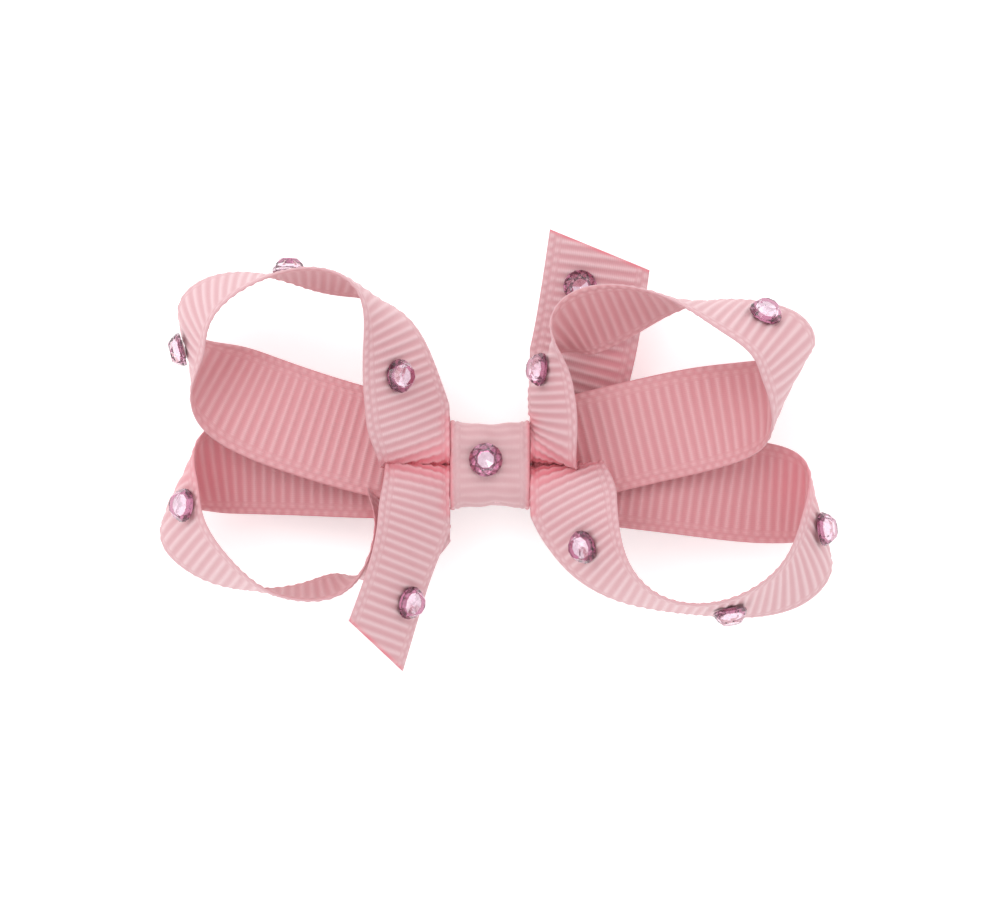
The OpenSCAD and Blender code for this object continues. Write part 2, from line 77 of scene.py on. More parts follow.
class Body(Enum):
    """The two rigid bodies of the clip."""

    JAW = "jaw"
    BOW = "bow"


# ---------------------------------------------------------------- sizes


@dataclass(frozen=True)
class Weave:
    """The grosgrain that the bow is made of, in millimetres."""

    width_mm: float = 10.0
    core_mm: float = 0.2
    rib_pitch_mm: float = 0.93
    rib_height_mm: float = 0.11
    selvage_mm: float = 1.25
    bead_height_mm: float = 0.1
    warp_pitch_mm: float = 0.2
    seal_mm: float = 0.45
    edge_columns: int = 11
    middle_columns: int = 13


@dataclass(frozen=True)
class Gather:
    """How the ribbon is drawn in beside the knot."""

    open_share: float = 0.8
    length_mm: float = 6.0
    clearance_mm: float = 0.03
    knot_half_mm: float = 4.4
    bulge_mm: float = 1.2
    bulge_run_mm: float = 0.7
    crowd_share: float = 0.4
    crowd_mm: float = 7.0
    tuck_share: float = 0.66
    tuck_mm: float = 6.5
    close_mm: float = 0.55
    pleat_mm: float = 0.1
    pleats: float = 3.0
    least_reach_mm: float = 0.2
    least_share: float = 0.1


@dataclass(frozen=True)
class FoldShade:
    """Painted shade that darkens the ribbon near the knot, where its folds lie in shadow: shares of
    the full depth, and distances in millimetres.
    """

    beside: float = 0.55
    beside_mm: float = 1.5
    back: float = 0.5
    back_start_mm: float = 1.0
    back_run_mm: float = 7.0
    root_start_mm: float = 0.6
    root_run_mm: float = 3.6


@dataclass(frozen=True)
class Station:
    """A place on a ribbon's middle line, in millimetres.

    near_x and near_y say how far the edge nearer the viewer lies from the far edge, as shares of
    the ribbon's width. cup is how far the middle stands proud of the edges.
    """

    x: float
    y: float
    z: float
    near_x: float
    near_y: float
    cup: float = 0.0

    def row(self, face: Face, base_mm: float) -> list[float]:
        """The station as place, direction across the ribbon, and cup."""
        rise = math.sqrt(max(0.0, 1 - self.near_x**2 - self.near_y**2))
        side = face.value
        return [
            self.x, self.y, self.z + base_mm,
            side * self.near_x, side * self.near_y, side * rise, self.cup,
        ]


def stations(*rows: tuple[float, ...]) -> tuple[Station, ...]:
    """Stations from rows of x, y, z, near_x, near_y and, where it isn't nought, cup."""
    return tuple(Station(*row) for row in rows)


UPPER_LEFT = stations(
    (-7, 0.9, 2.5, -0.95, 0, 0.2),  # rolled up out of the knot
    (-7, 0.9, 4.7, -0.95, 0, 0.2),
    (-7.1, 1.3, 6.8, -0.93, 0, 0.4),
    (-7.6, 4, 7.9, -0.8, 0, 0.6),  # front strand
    (-8.5, 8, 8.7, -0.7, -0.1, 0.6),
    (-9.6, 12.4, 9.2, -0.5, -0.1, 0.7),
    (-12.3, 16, 9.3, -0.15, 0.15, 0.8),  # crown
    (-16.5, 17.4, 9.3, 0, 0.2, 0.3),
    (-21, 17.6, 9.2, 0, -0.05, 0.2),
    (-25.3, 16.4, 8.9, 0.1, -0.3, 0.2),
    (-28, 13.4, 7.7, 0.3, -0.4, 0.4),  # outer bend
    (-27.6, 9.6, 5.9, 0.1, -0.7, 0.5),
    (-24, 6.6, 4.6, -0.25, -0.92, 0.3),
    (-19, 4.5, 4, -0.3, -0.95),  # back panel
    (-14, 2.9, 3.8, -0.28, -0.96),
    (-9, 1.6, 3.8, -0.2, -0.98),
    (-4, 0.6, 3.8, 0, -1),
    (1, 0, 3.8, 0, -1),
)
UPPER_RIGHT = stations(
    (5.6, 1.1, 2.2, 0.95, 0, 0.2),  # rolled up out of the knot
    (5.6, 1.1, 4.3, 0.95, 0, 0.2),
    (5.8, 1.6, 6.3, 0.75, 0, 0.4),
    (6.1, 4, 7.2, 0.5, 0, 0.6),  # front strand
    (5.7, 8, 7.4, 0.4, 0.1, 0.6),
    (6.8, 12, 7.2, 0.05, 0.6, 0.5),  # crown
    (10.4, 13.9, 7.2, 0, 0.62, 0.2),
    (14.5, 15, 7.7, 0, 0.35, 0.2),
    (18.8, 15.2, 8.5, 0, -0.05, 0.2),
    (23, 14, 9.5, -0.2, -0.35, 0.2),
    (27, 12, 10, -0.5, -0.4, 0.2),  # outer bend
    (28.2, 8.4, 8.7, -0.45, -0.55, 0.5),
    (25.6, 5.8, 5.8, 0, -0.85, 0.6),
    (21.5, 4.7, 4.3, 0.15, -0.95, 0.2),
    (16.5, 3.6, 3.6, 0.2, -0.98),  # back panel
    (10.5, 2.2, 3.3, 0.2, -0.98),
    (4, 0.6, 3.3, 0, -1),
    (-1, 0, 3.3, 0, -1),
)
LOWER_LEFT = stations(
    (-2, 1, 2, -0.86, 0.51),
    (-6, -2.1, 2, -0.86, 0.51),
    (-8, -5.2, 1.9, -0.86, 0.3, 0.1),  # front strand, behind the tail
    (-11, -8.6, 4.4, -0.3, 0.1, 0.6),
    (-14, -11, 5.2, 0, -0.22, 0.4),  # crown
    (-18, -12, 5.3, 0, -0.12, 0.2),
    (-22, -11.6, 5.5, 0.05, 0.05, 0.2),
    (-26, -9.6, 5.8, 0.2, 0.3, 0.2),
    (-29, -6.3, 5.6, 0.4, 0.35, 0.2),  # outer bend
    (-29, -2.7, 4, 0.35, 0.5, 0.9),
    (-26.2, -0.5, 2.4, 0, 0.85, 0.6),
    (-21.5, 0, 1.6, 0, 0.95, 0.1),
    (-16, 0, 1.3, 0, 0.98),  # back panel
    (-10, -0.1, 1.3, 0, 1),
    (-4, -0.1, 1.3, 0, 1),
    (1, 0, 1.3, 0, 1),
)
LOWER_RIGHT = stations(
    (7.3, -0.9, 2.2, 0.95, 0, 0.2),  # rolled up out of the knot
    (7.3, -0.9, 4.3, 0.95, 0, 0.2),
    (7.4, -1.3, 6.5, 0.93, 0.1, 0.4),
    (8.1, -3.9, 8.2, 0.8, 0.2, 0.6),  # front strand
    (9.6, -7.8, 9.3, 0.55, 0.3, 0.4),
    (12.2, -11, 9.7, 0.25, 0.25, 0.2),
    (16, -13, 9.8, 0.05, 0.12),  # crown
    (20.5, -13.5, 9.7, 0, 0.12),
    (25, -12.7, 9.2, -0.1, 0.28),
    (29, -10.4, 8, -0.3, 0.4, 0.2),  # outer bend
    (31, -6.8, 6.2, -0.3, 0.55, 0.4),
    (29.6, -3.4, 3.6, -0.05, 0.82, 0.4),
    (25.5, -2.7, 2.1, 0.15, 0.95, 0.1),
    (20, -1.9, 1.8, 0.15, 0.98),  # back panel
    (14.5, -1.2, 1.8, 0.12, 0.99),
    (9, -0.6, 1.8, 0.1, 0.99),
    (4, -0.2, 1.8, 0, 1),
    (-1, 0, 1.8, 0, 1),
)
UPPER_TAIL = stations(
    (2.5, -4, 0.6, -0.95, 0.3),
    (5.8, 2, 0.6, -0.95, 0.3),
    (8.3, 8.5, 1, -0.97, 0.25),
    (9.6, 15, 1.9, -0.98, 0.18),
    (10.6, 21.8, 2.9, -0.98, 0.15),
    (11.5, 28, 3.9, -0.98, 0.15),
)
LOWER_TAIL = stations(
    (-6.8, -0.8, 2.5, -0.95, 0, 0.2),  # rolled up out of the knot
    (-6.8, -0.8, 4.7, -0.95, 0, 0.2),
    (-6.8, -1.1, 6.8, -0.93, 0.1, 0.4),
    (-6.9, -4, 7.9, -0.72, 0.2, 0.6),
    (-8, -8.4, 8.5, -0.56, 0.22, 0.3),
    (-9.4, -12.9, 8.9, -0.54, 0.24, 0.1),
    (-11.2, -18.3, 9.2, -0.58, 0.25),
    (-12.9, -23, 9.5, -0.62, 0.25),
)


# ---------------------------------------------------------------- ribbon geometry


def smooth(t: np.ndarray) -> np.ndarray:
    """Eases from 0 to 1 as t does, flat at both ends."""
    t = np.clip(t, 0.0, 1.0)
    return t * t * (3 - 2 * t)


def unit(v: np.ndarray) -> np.ndarray:
    """Vectors of length one along the last axis."""
    return v / np.maximum(np.linalg.norm(v, axis=-1, keepdims=True), 1e-12)


def placed(name: str, data: bpy.types.ID) -> Object:
    """A new object of the scene that shows the given data."""
    obj = bpy.data.objects.new(name, data)
    bpy.context.scene.collection.objects.link(obj)
    return obj



@dataclass
class RibbonPath:
    """The middle line and the twist of one ribbon, as a smooth curve past its stations."""

    stations: Sequence[Station]
    face: Face
    base_mm: float
    root_mm: float
    weave: Weave = field(default_factory=Weave)
    gather: Gather = field(default_factory=Gather)

    def __post_init__(self) -> None:
        """Works out the rows that the curve is drawn towards."""
        rows = np.array([s.row(self.face, self.base_mm) for s in self.stations], float)
        drawn = rows.copy()
        drawn[1:-1] += (2 * rows[1:-1] - rows[:-2] - rows[2:]) / 6
        self.rows = drawn

    def row_at(self, u: np.ndarray) -> tuple[np.ndarray, np.ndarray]:
        """Value and slope of the curve.

        Args:
            u: Places along the curve, from 0 to 1, in any shape.

        Returns:
            The interpolated rows and their slopes, each with one more axis than u.
        """
        spans = len(self.rows) - 3
        i = np.minimum((u * spans).astype(int), spans - 1)
        f = (u * spans - i)[..., None]
        r0, r1, r2, r3 = (self.rows[i + k] for k in range(4))
        value = (
            r0 * (1 - f) ** 3
            + r1 * (3 * f**3 - 6 * f**2 + 4)
            + r2 * (-3 * f**3 + 3 * f**2 + 3 * f + 1)
            + r3 * f**3
        ) / 6
        slope = (
            -r0 * (1 - f) ** 2
            + r1 * (3 * f**2 - 4 * f)
            + r2 * (-3 * f**2 + 2 * f + 1)
            + r3 * f**2
        )
        return value, slope

    def surface(
        self, u: np.ndarray, v: np.ndarray, tuck: np.ndarray | float = 1.0
    ) -> tuple[np.ndarray, np.ndarray]:
        """Points and outer normals of the middle sheet.

        Args:
            u: Places along the ribbon, from 0 to 1.
            v: Places across it, from -1 to 1, in the same shape.
            tuck: Share of the free half of the width that is left where it is drawn in.

        Returns:
            The points in millimetres and the unit normals.
        """
        value, slope = self.row_at(u)
        place = value[..., :3]
        travel = unit(slope[..., :3])
        across = value[..., 3:6]
        across = unit(across - travel * np.sum(across * travel, -1, keepdims=True))
        out = np.cross(travel, across)
        cup = value[..., 6]
        away = (np.hypot(place[..., 0], place[..., 1]) - self.root_mm) / self.gather.length_mm
        share = self.gather.open_share + (1 - self.gather.open_share) * smooth(away)
        width = self.weave.width_mm
        half = (width * share - 8 / 3 * cup**2 / width) / 2
        free = v * across[..., 0] * np.sign(place[..., 0]) > 0
        v = np.where(free, v * tuck, v)
        v = self._trimmed(v, place, across, out, half, cup)
        points = (
            place
            + across * (half * v)[..., None]
            + out * (cup * (1 - v**2))[..., None]
        )
        lean = unit(across * half[..., None] - out * (2 * cup * v)[..., None])
        return points, np.cross(travel, lean)

    def _trimmed(
        self,
        v: np.ndarray,
        place: np.ndarray,
        across: np.ndarray,
        out: np.ndarray,
        half: np.ndarray,
        cup: np.ndarray,
    ) -> np.ndarray:
        """Draws the edge that would run into the knot back to the knot's side."""
        side = np.sign(v)
        away = np.sign(place[..., 0])
        toward = -away * across[..., 0] * side * half
        past = smooth((np.abs(place[..., 1]) - self.gather.knot_half_mm) / self.gather.bulge_run_mm)
        room = np.abs(place[..., 0]) - self.root_mm + self.gather.bulge_mm * past
        reach = np.maximum(toward, 0.01)
        first = np.clip(room / reach, 0, 1)
        bulge = np.maximum(0, -away * out[..., 0] * cup * (1 - first**2))
        bulge = bulge + np.abs(out[..., 0]) * self.weave.core_mm
        limit = np.clip((room - bulge) / reach, self.gather.least_share, 1)
        drawn = side * np.minimum(np.abs(v), limit * np.abs(v))
        return np.where(toward > self.gather.least_reach_mm, drawn, v)

    def stretch(self, steps: int = 2000) -> tuple[np.ndarray, np.ndarray]:
        """Arc length of the middle line, in millimetres, at evenly spaced u."""
        u = np.linspace(0, 1, steps)
        value, _ = self.row_at(u)
        legs = np.linalg.norm(np.diff(value[:, :3], axis=0), axis=1)
        return u, np.concatenate([[0.0], np.cumsum(legs)])


def columns_across(weave: Weave) -> np.ndarray:
    """Places across the ribbon, from -1 to 1, closer together over the beaded selvages."""
    edge = 1 - 2 * weave.selvage_mm / weave.width_mm
    outer = np.linspace(edge, 1, weave.edge_columns)
    middle = np.linspace(-edge, edge, weave.middle_columns)[1:-1]
    return np.concatenate([-outer[::-1], middle, outer])


@dataclass
class SheetMesh:
    """A grid of points that becomes a ribbon's middle sheet, all in millimetres."""

    name: str
    points: np.ndarray
    normals: np.ndarray
    along: np.ndarray
    across: np.ndarray
    sealed: np.ndarray
    crease: np.ndarray

    def build(self) -> Object:
        """Makes the sheet as a mesh with its weave coordinates as attributes."""
        rows, cols = self.along.shape
        index = np.arange(rows * cols).reshape(rows, cols)
        quads = np.stack(
            [index[:-1, :-1], index[1:, :-1], index[1:, 1:], index[:-1, 1:]], -1
        ).reshape(-1, 4)
        mesh = bpy.data.meshes.new(self.name)
        mesh.from_pydata((self.points.reshape(-1, 3) * MM).tolist(), [], quads.tolist())
        for label, values in (("along", self.along), ("across", self.across)):
            layer = mesh.attributes.new(label, "FLOAT", "POINT")
            layer.data.foreach_set("value", (values.ravel() * MM).astype(np.float32))
        # sealed marks the heat-sealed cut ends; the other mask says how much painted fold shade
        # each point gets.
        for label, values in (("sealed", self.sealed), ("crease", self.crease)):
            layer = mesh.attributes.new(label, "FLOAT", "POINT")
            layer.data.foreach_set("value", values.ravel().astype(np.float32))
        layer = mesh.attributes.new("face_dir", "FLOAT_VECTOR", "POINT")
        layer.data.foreach_set("vector", self.normals.reshape(-1).astype(np.float32))
        return placed(self.name, mesh)


# ---------------------------------------------------------------- node helpers


class Graph:
    """Writes nodes into a geometry or shader tree, one short call each."""

    def __init__(self, tree: bpy.types.NodeTree) -> None:
        """Keeps the tree that the calls add to."""
        self.tree = tree
        self.family = "Shader" if tree.bl_idname == "ShaderNodeTree" else "Geometry"

    def add(self, kind: str, **settings: object) -> Node:
        """Adds a node and sets its properties.

        Args:
            kind: The node's type name.
            **settings: Properties of the node.

        Returns:
            The new node.
        """
        node = self.tree.nodes.new(kind)
        for key, value in settings.items():
            setattr(node, key, value)
        return node

    def put(self, source: object, target: Socket) -> None:
        """Links a socket to a target, or sets the target's own value."""
        if isinstance(source, Socket):
            self.tree.links.new(source, target)
        else:
            target.default_value = source

    def math(self, operation: str, *values: object) -> Socket:
        """One arithmetic step on sockets or numbers."""
        node = self.add("ShaderNodeMath", operation=operation)
        for value, target in zip(values, node.inputs):
            self.put(value, target)
        return node.outputs[0]

    def times(self, first: object, second: object) -> Socket:
        """The product of two sockets or numbers."""
        return self.math("MULTIPLY", first, second)

    def ramp(self, value: object, slope: object, start: object) -> Socket:
        """A straight line: the value times a slope, plus a start."""
        return self.math("MULTIPLY_ADD", value, slope, start)

    def named(self, label: str, kind: str = "FLOAT") -> Socket:
        """Reads an attribute of the geometry."""
        node = self.add("GeometryNodeInputNamedAttribute", data_type=kind)
        node.inputs["Name"].default_value = label
        return next(s for s in node.outputs if s.name == "Attribute" and s.enabled)

    def ease(self, value: object, low: object, high: object) -> Socket:
        """0 below low, 1 above high, and smooth between them."""
        node = self.add("ShaderNodeMapRange", interpolation_type="SMOOTHSTEP")
        for source, label in ((value, "Value"), (low, "From Min"), (high, "From Max")):
            self.put(source, node.inputs[label])
        return node.outputs["Result"]

    def wave(self, turns: object) -> Socket:
        """A cosine between 0 and 1 that repeats once a turn."""
        return self.ramp(self.math("COSINE", self.times(turns, math.tau)), 0.5, 0.5)

    def ribs(self, turns: object) -> Socket:
        """The ribs' outline, from 0 between two ribs to 1 on a ridge."""
        return self.math("POWER", self.wave(turns), RIB_SHARPNESS)

    def beads(self, edge: object, selvage: object, turns: object) -> Socket:
        """Two staggered rows of beads along a selvage.

        Args:
            edge: How far a place lies outside the selvage's inner line.
            selvage: The selvage's width.
            turns: Ribs passed along the ribbon.

        Returns:
            The beads' height, from 0 to 1.
        """
        cell = self.math("DIVIDE", edge, self.times(selvage, 0.5))
        cell = self.math("MINIMUM", self.math("MAXIMUM", cell, 0.0), BEAD_ROWS_END)
        lump = self.math("SINE", self.times(self.math("FRACT", cell), math.pi))
        row = self.math("FLOOR", cell)
        return self.times(self.wave(self.ramp(row, 0.5, turns)), lump)

    def between(self, share: object, low: object, high: object) -> Socket:
        """A number between low and high."""
        rest = self.math("SUBTRACT", 1.0, share)
        return self.math("ADD", self.times(low, rest), self.times(high, share))

    def noise(self, place: object, scale: object, detail: float = 2.0) -> Socket:
        """Soft noise at a place."""
        node = self.add("ShaderNodeTexNoise")
        for source, label in ((place, "Vector"), (scale, "Scale"), (detail, "Detail")):
            self.put(source, node.inputs[label])
        return node.outputs[0]

    def object_place(self) -> Socket:
        """Object coordinates."""
        return self.add("ShaderNodeTexCoord").outputs["Object"]

    def bump(self, surface: Node, height: object, strength: float, depth_m: float) -> None:
        """Roughens a surface shader's normal by a height."""
        node = self.add("ShaderNodeBump")
        for source, label in ((strength, "Strength"), (depth_m, "Distance"), (height, "Height")):
            self.put(source, node.inputs[label])
        self.put(node.outputs[0], surface.inputs["Normal"])

    def blend(self, share: object, low: Colour | Socket, high: Colour | Socket) -> Socket:
        """A colour between low and high."""
        node = self.add("ShaderNodeMix", data_type="RGBA")
        self.put(share, node.inputs["Factor"])
        colours = [s for s in node.inputs if s.type == "RGBA"]
        for source, target in zip((low, high), colours):
            self.put(source if isinstance(source, Socket) else (*source, 1), target)
        return [s for s in node.outputs if s.type == "RGBA"][0]


def socket(
    tree: bpy.types.NodeTree, name: str, kind: str, output: bool = False
) -> bpy.types.NodeTreeInterfaceSocket:
    """Adds a named socket to a tree's own interface."""
    way = "OUTPUT" if output else "INPUT"
    return tree.interface.new_socket(name=name, in_out=way, socket_type=kind)


class RibbedRibbon:
    """Geometry Nodes tree that turns a plain sheet into grosgrain with ribs and beaded edges."""

    def __init__(self, weave: Weave) -> None:
        """Builds the tree once; every ribbon piece then uses it."""
        self.weave = weave
        self.tree = bpy.data.node_groups.new("ribbed_ribbon", "GeometryNodeTree")
        self.keys: dict[str, str] = {}
        socket(self.tree, "Sheet", "NodeSocketGeometry")
        for name in ("Core", "Rib Pitch", "Rib Height", "Inner Width", "Selvage", "Bead Height"):
            self.keys[name] = socket(self.tree, name, "NodeSocketFloat").identifier
        self.keys["Material"] = socket(self.tree, "Material", "NodeSocketMaterial").identifier
        socket(self.tree, "Ribbon", "NodeSocketGeometry", output=True)
        self._wire()

    def _height(self, g: Graph, given: Node) -> Socket:
        """How far the surface stands out from the middle sheet."""
        along, across, sealed = (g.named(label) for label in ("along", "across", "sealed"))
        turns = g.math("DIVIDE", along, given.outputs["Rib Pitch"])
        rib = g.times(g.ribs(turns), given.outputs["Rib Height"])
        edge = g.math("SUBTRACT", g.math("ABSOLUTE", across), given.outputs["Inner Width"])
        selvage = given.outputs["Selvage"]
        bead = g.times(g.beads(edge, selvage, turns), given.outputs["Bead Height"])
        relief = g.between(g.ease(edge, -0.0001, 0.0001), rib, bead)
        relief = g.times(relief, g.math("SUBTRACT", 1.0, sealed))
        half = g.times(given.outputs["Core"], 0.5)
        rim = g.ease(edge, g.times(selvage, 0.8), selvage)
        half = g.times(half, g.between(rim, 1.0, 0.6))
        return g.math("ADD", half, relief)

    def _wire(self) -> None:
        """Wires the tree: a flipped copy for the back, an extruded one for the front and walls."""
        g = Graph(self.tree)
        given = g.add("NodeGroupInput")
        done = g.add("NodeGroupOutput")
        height = self._height(g, given)
        direction = g.named("face_dir", "FLOAT_VECTOR")
        inner = g.add("GeometryNodeStoreNamedAttribute", data_type="FLOAT", domain="FACE")
        g.put(given.outputs["Sheet"], inner.inputs["Geometry"])
        g.put("inner", inner.inputs["Name"])
        g.put(1.0, next(s for s in inner.inputs if s.name == "Value" and s.enabled))
        back = g.add("GeometryNodeFlipFaces")
        g.put(inner.outputs[0], back.inputs["Mesh"])
        front = g.add("GeometryNodeExtrudeMesh", mode="FACES")
        g.put(given.outputs["Sheet"], front.inputs["Mesh"])
        g.put(0.0, front.inputs["Offset Scale"])
        g.put(False, front.inputs["Individual"])
        joined = g.add("GeometryNodeJoinGeometry")
        front_side = g.ramp(front.outputs["Top"], 2.0, -1.0)
        for source, side in ((back.outputs["Mesh"], -1.0), (front.outputs["Mesh"], front_side)):
            move = g.add("ShaderNodeVectorMath", operation="SCALE")
            g.put(direction, move.inputs[0])
            g.put(g.times(height, side), move.inputs["Scale"])
            place = g.add("GeometryNodeSetPosition")
            g.put(source, place.inputs["Geometry"])
            g.put(move.outputs[0], place.inputs["Offset"])
            g.put(place.outputs[0], joined.inputs[0])
        weld = g.add("GeometryNodeMergeByDistance")
        g.put(joined.outputs[0], weld.inputs["Geometry"])
        g.put(1e-7, weld.inputs["Distance"])
        soft = g.add("GeometryNodeSetShadeSmooth")
        g.put(weld.outputs[0], soft.inputs[0])
        whole = g.add("GeometryNodeRealizeInstances")
        g.put(soft.outputs[0], whole.inputs[0])
        dress = g.add("GeometryNodeSetMaterial")
        g.put(whole.outputs[0], dress.inputs["Geometry"])
        g.put(given.outputs["Material"], dress.inputs["Material"])
        g.put(dress.outputs[0], done.inputs["Ribbon"])

    def weave_piece(
        self,
        sheet: SheetMesh,
        material: Material,
        pitch_mm: float | None = None,
        relief: float = 1.0,
    ) -> Object:
        """Weaves one sheet into a finished plain mesh.

        Args:
            sheet: The middle sheet.
            material: The finish of the piece.
            pitch_mm: The ribs' pitch, where it differs from the weave's own.
            relief: Share of the ribs' height that is left.

        Returns:
            The finished object, with no modifier left on it.
        """
        base = sheet.build()
        modifier = base.modifiers.new("ribs", "NODES")
        modifier.node_group = self.tree
        w = self.weave
        sizes = {
            "Core": w.core_mm,
            "Rib Pitch": pitch_mm or w.rib_pitch_mm,
            "Rib Height": w.rib_height_mm * relief,
            "Inner Width": float(np.abs(sheet.across).max()) - w.selvage_mm,
            "Selvage": w.selvage_mm,
            "Bead Height": w.bead_height_mm,
        }
        for name, value in sizes.items():
            modifier[self.keys[name]] = value * MM
        modifier[self.keys["Material"]] = material
        return baked(base, sheet.name, material)


def baked(base: Object, name: str, material: Material) -> Object:
    """Turns an object with live modifiers into a plain mesh with a weave UV map."""
    graph = bpy.context.evaluated_depsgraph_get()
    graph.update()
    mesh = bpy.data.meshes.new_from_object(
        base.evaluated_get(graph), preserve_all_data_layers=True, depsgraph=graph
    )
    bpy.data.objects.remove(base)
    mesh.materials.clear()
    mesh.materials.append(material)
    loops = np.zeros(len(mesh.loops), np.int32)
    mesh.loops.foreach_get("vertex_index", loops)
    uv = np.zeros((len(mesh.loops), 2), np.float32)
    for axis, label in enumerate(("along", "across")):
        values = np.zeros(len(mesh.vertices), np.float32)
        mesh.attributes[label].data.foreach_get("value", values)
        uv[:, axis] = values[loops] / (UV_MM * MM)
    layer = mesh.uv_layers.new(name="weave")
    layer.data.foreach_set("uv", uv.ravel())
    for label in ("face_dir", "along", "across"):
        mesh.attributes.remove(mesh.attributes[label])
    return placed(name, mesh)


# ---------------------------------------------------------------- finishes


class FibreWeave:
    """Shader group for thread: fine warp lines, rib shading and a little unevenness."""

    def __init__(self) -> None:
        """Builds the group once."""
        self.tree = bpy.data.node_groups.new("fibre_weave", "ShaderNodeTree")
        socket(self.tree, "Weave", "NodeSocketVector")
        for name in ("Rib Pitch", "Warp Pitch", "Inner Width", "Selvage", "Grain"):
            socket(self.tree, name, "NodeSocketFloat")
        for name in ("Ridge", "Fibre", "Height"):
            socket(self.tree, name, "NodeSocketFloat", output=True)
        self._wire()

    def _wire(self) -> None:
        """Wires ridges along the ribbon, threads across it and a soft noise."""
        g = Graph(self.tree)
        given = g.add("NodeGroupInput")
        done = g.add("NodeGroupOutput")
        split = g.add("ShaderNodeSeparateXYZ")
        g.put(given.outputs["Weave"], split.inputs[0])
        turns = g.math("DIVIDE", split.outputs["X"], given.outputs["Rib Pitch"])
        noise = g.noise(given.outputs["Weave"], given.outputs["Grain"], 3.0)
        uneven = g.ramp(noise, 0.5, -0.25)
        threads = g.math("DIVIDE", split.outputs["Y"], given.outputs["Warp Pitch"])
        fibre = g.wave(g.math("ADD", threads, g.times(uneven, 0.6)))
        wide = g.math("ABSOLUTE", split.outputs["Y"])
        edge = g.math("SUBTRACT", wide, given.outputs["Inner Width"])
        bead = g.ramp(g.beads(edge, given.outputs["Selvage"], turns), 0.65, 0.2)
        ridge = g.between(g.ease(edge, -0.01, 0.01), g.ribs(turns), bead)
        height = g.math("ADD", g.times(fibre, g.ramp(ridge, 0.6, 0.4)), uneven)
        g.put(ridge, done.inputs["Ridge"])
        g.put(fibre, done.inputs["Fibre"])
        g.put(height, done.inputs["Height"])


class MetalWear:
    """Shader group for plated sheet metal: drawn lines and smudges."""

    def __init__(self) -> None:
        """Builds the group once."""
        self.tree = bpy.data.node_groups.new("metal_wear", "ShaderNodeTree")
        socket(self.tree, "Place", "NodeSocketVector")
        socket(self.tree, "Line Scale", "NodeSocketFloat")
        for name in ("Line", "Smudge"):
            socket(self.tree, name, "NodeSocketFloat", output=True)
        g = Graph(self.tree)
        given = g.add("NodeGroupInput")
        done = g.add("NodeGroupOutput")
        squeeze = g.add("ShaderNodeMapping")
        g.put(given.outputs["Place"], squeeze.inputs["Vector"])
        squeeze.inputs["Scale"].default_value = (0.04, 1.0, 1.0)
        lines = g.noise(squeeze.outputs[0], given.outputs["Line Scale"], 4.0)
        g.put(lines, done.inputs["Line"])
        g.put(g.noise(given.outputs["Place"], SMUDGE_SCALE), done.inputs["Smudge"])


def shader(name: str) -> tuple[Material, Graph, Node]:
    """A new material with its graph and its surface shader."""
    material = bpy.data.materials.new(name)
    material.use_nodes = True
    return material, Graph(material.node_tree), material.node_tree.nodes["Principled BSDF"]


@dataclass(frozen=True)
class GrosgrainFinish:
    """Polyester grosgrain, its colour painted paler on the ridges and deeper between them as light
    and shade, with a soft sheen.
    """

    name: str
    ridge: Colour
    valley: Colour
    shaded_inner_ridge: Colour
    shaded_inner_valley: Colour
    crease: Colour
    pitch_mm: float
    warp_mm: float
    width_mm: float
    selvage_mm: float
    roughness: float = 0.5
    sheen: float = 0.2
    sheen_tint: Colour = (1.0, 0.86, 0.88)
    sheen_roughness: float = 0.4
    specular: float = 0.35
    grain: float = 9.0
    bump: float = 0.35
    bump_m: float = 0.00004

    def make(self, fibres: FibreWeave) -> Material:
        """Builds the material on the piece's weave map."""
        material, g, surface = shader(self.name)
        where = g.add("ShaderNodeUVMap", uv_map="weave")
        weave = g.add("ShaderNodeGroup", node_tree=fibres.tree)
        g.put(where.outputs[0], weave.inputs["Weave"])
        sizes = {
            "Rib Pitch": self.pitch_mm,
            "Warp Pitch": self.warp_mm,
            "Inner Width": self.width_mm / 2 - self.selvage_mm,
            "Selvage": self.selvage_mm,
        }
        for label, size in sizes.items():
            g.put(size / UV_MM, weave.inputs[label])
        g.put(self.grain, weave.inputs["Grain"])
        # Painted rib light and shade: the ridges take the paler colour and the valleys the deeper
        # one.
        share = g.ramp(weave.outputs["Height"], 0.25, g.times(weave.outputs["Ridge"], 0.7))
        outer = g.blend(share, self.valley, self.ridge)
        inner = g.blend(share, self.shaded_inner_valley, self.shaded_inner_ridge)
        marks = {
            label: g.add("ShaderNodeAttribute", attribute_name=label).outputs["Fac"]
            for label in ("inner", "crease", "sealed")
        }
        # The inner face takes a darker copy of the same colours: painted shade.
        colour = g.blend(marks["inner"], outer, inner)
        # Painted shade in the folds, weaker on the ridges; the heat-sealed cut ends take the same
        # deep colour.
        deep = g.math("MAXIMUM", marks["crease"], g.times(marks["sealed"], 0.8))
        deep = g.times(deep, g.ramp(share, -0.5, 1.0))
        g.put(g.blend(deep, colour, self.crease), surface.inputs["Base Color"])
        g.bump(surface, weave.outputs["Height"], self.bump, self.bump_m)
        g.put(self.roughness, surface.inputs["Roughness"])
        g.put(self.sheen, surface.inputs["Sheen Weight"])
        g.put(self.sheen_roughness, surface.inputs["Sheen Roughness"])
        g.put((*self.sheen_tint, 1), surface.inputs["Sheen Tint"])
        g.put(self.specular, surface.inputs["Specular IOR Level"])
        return material


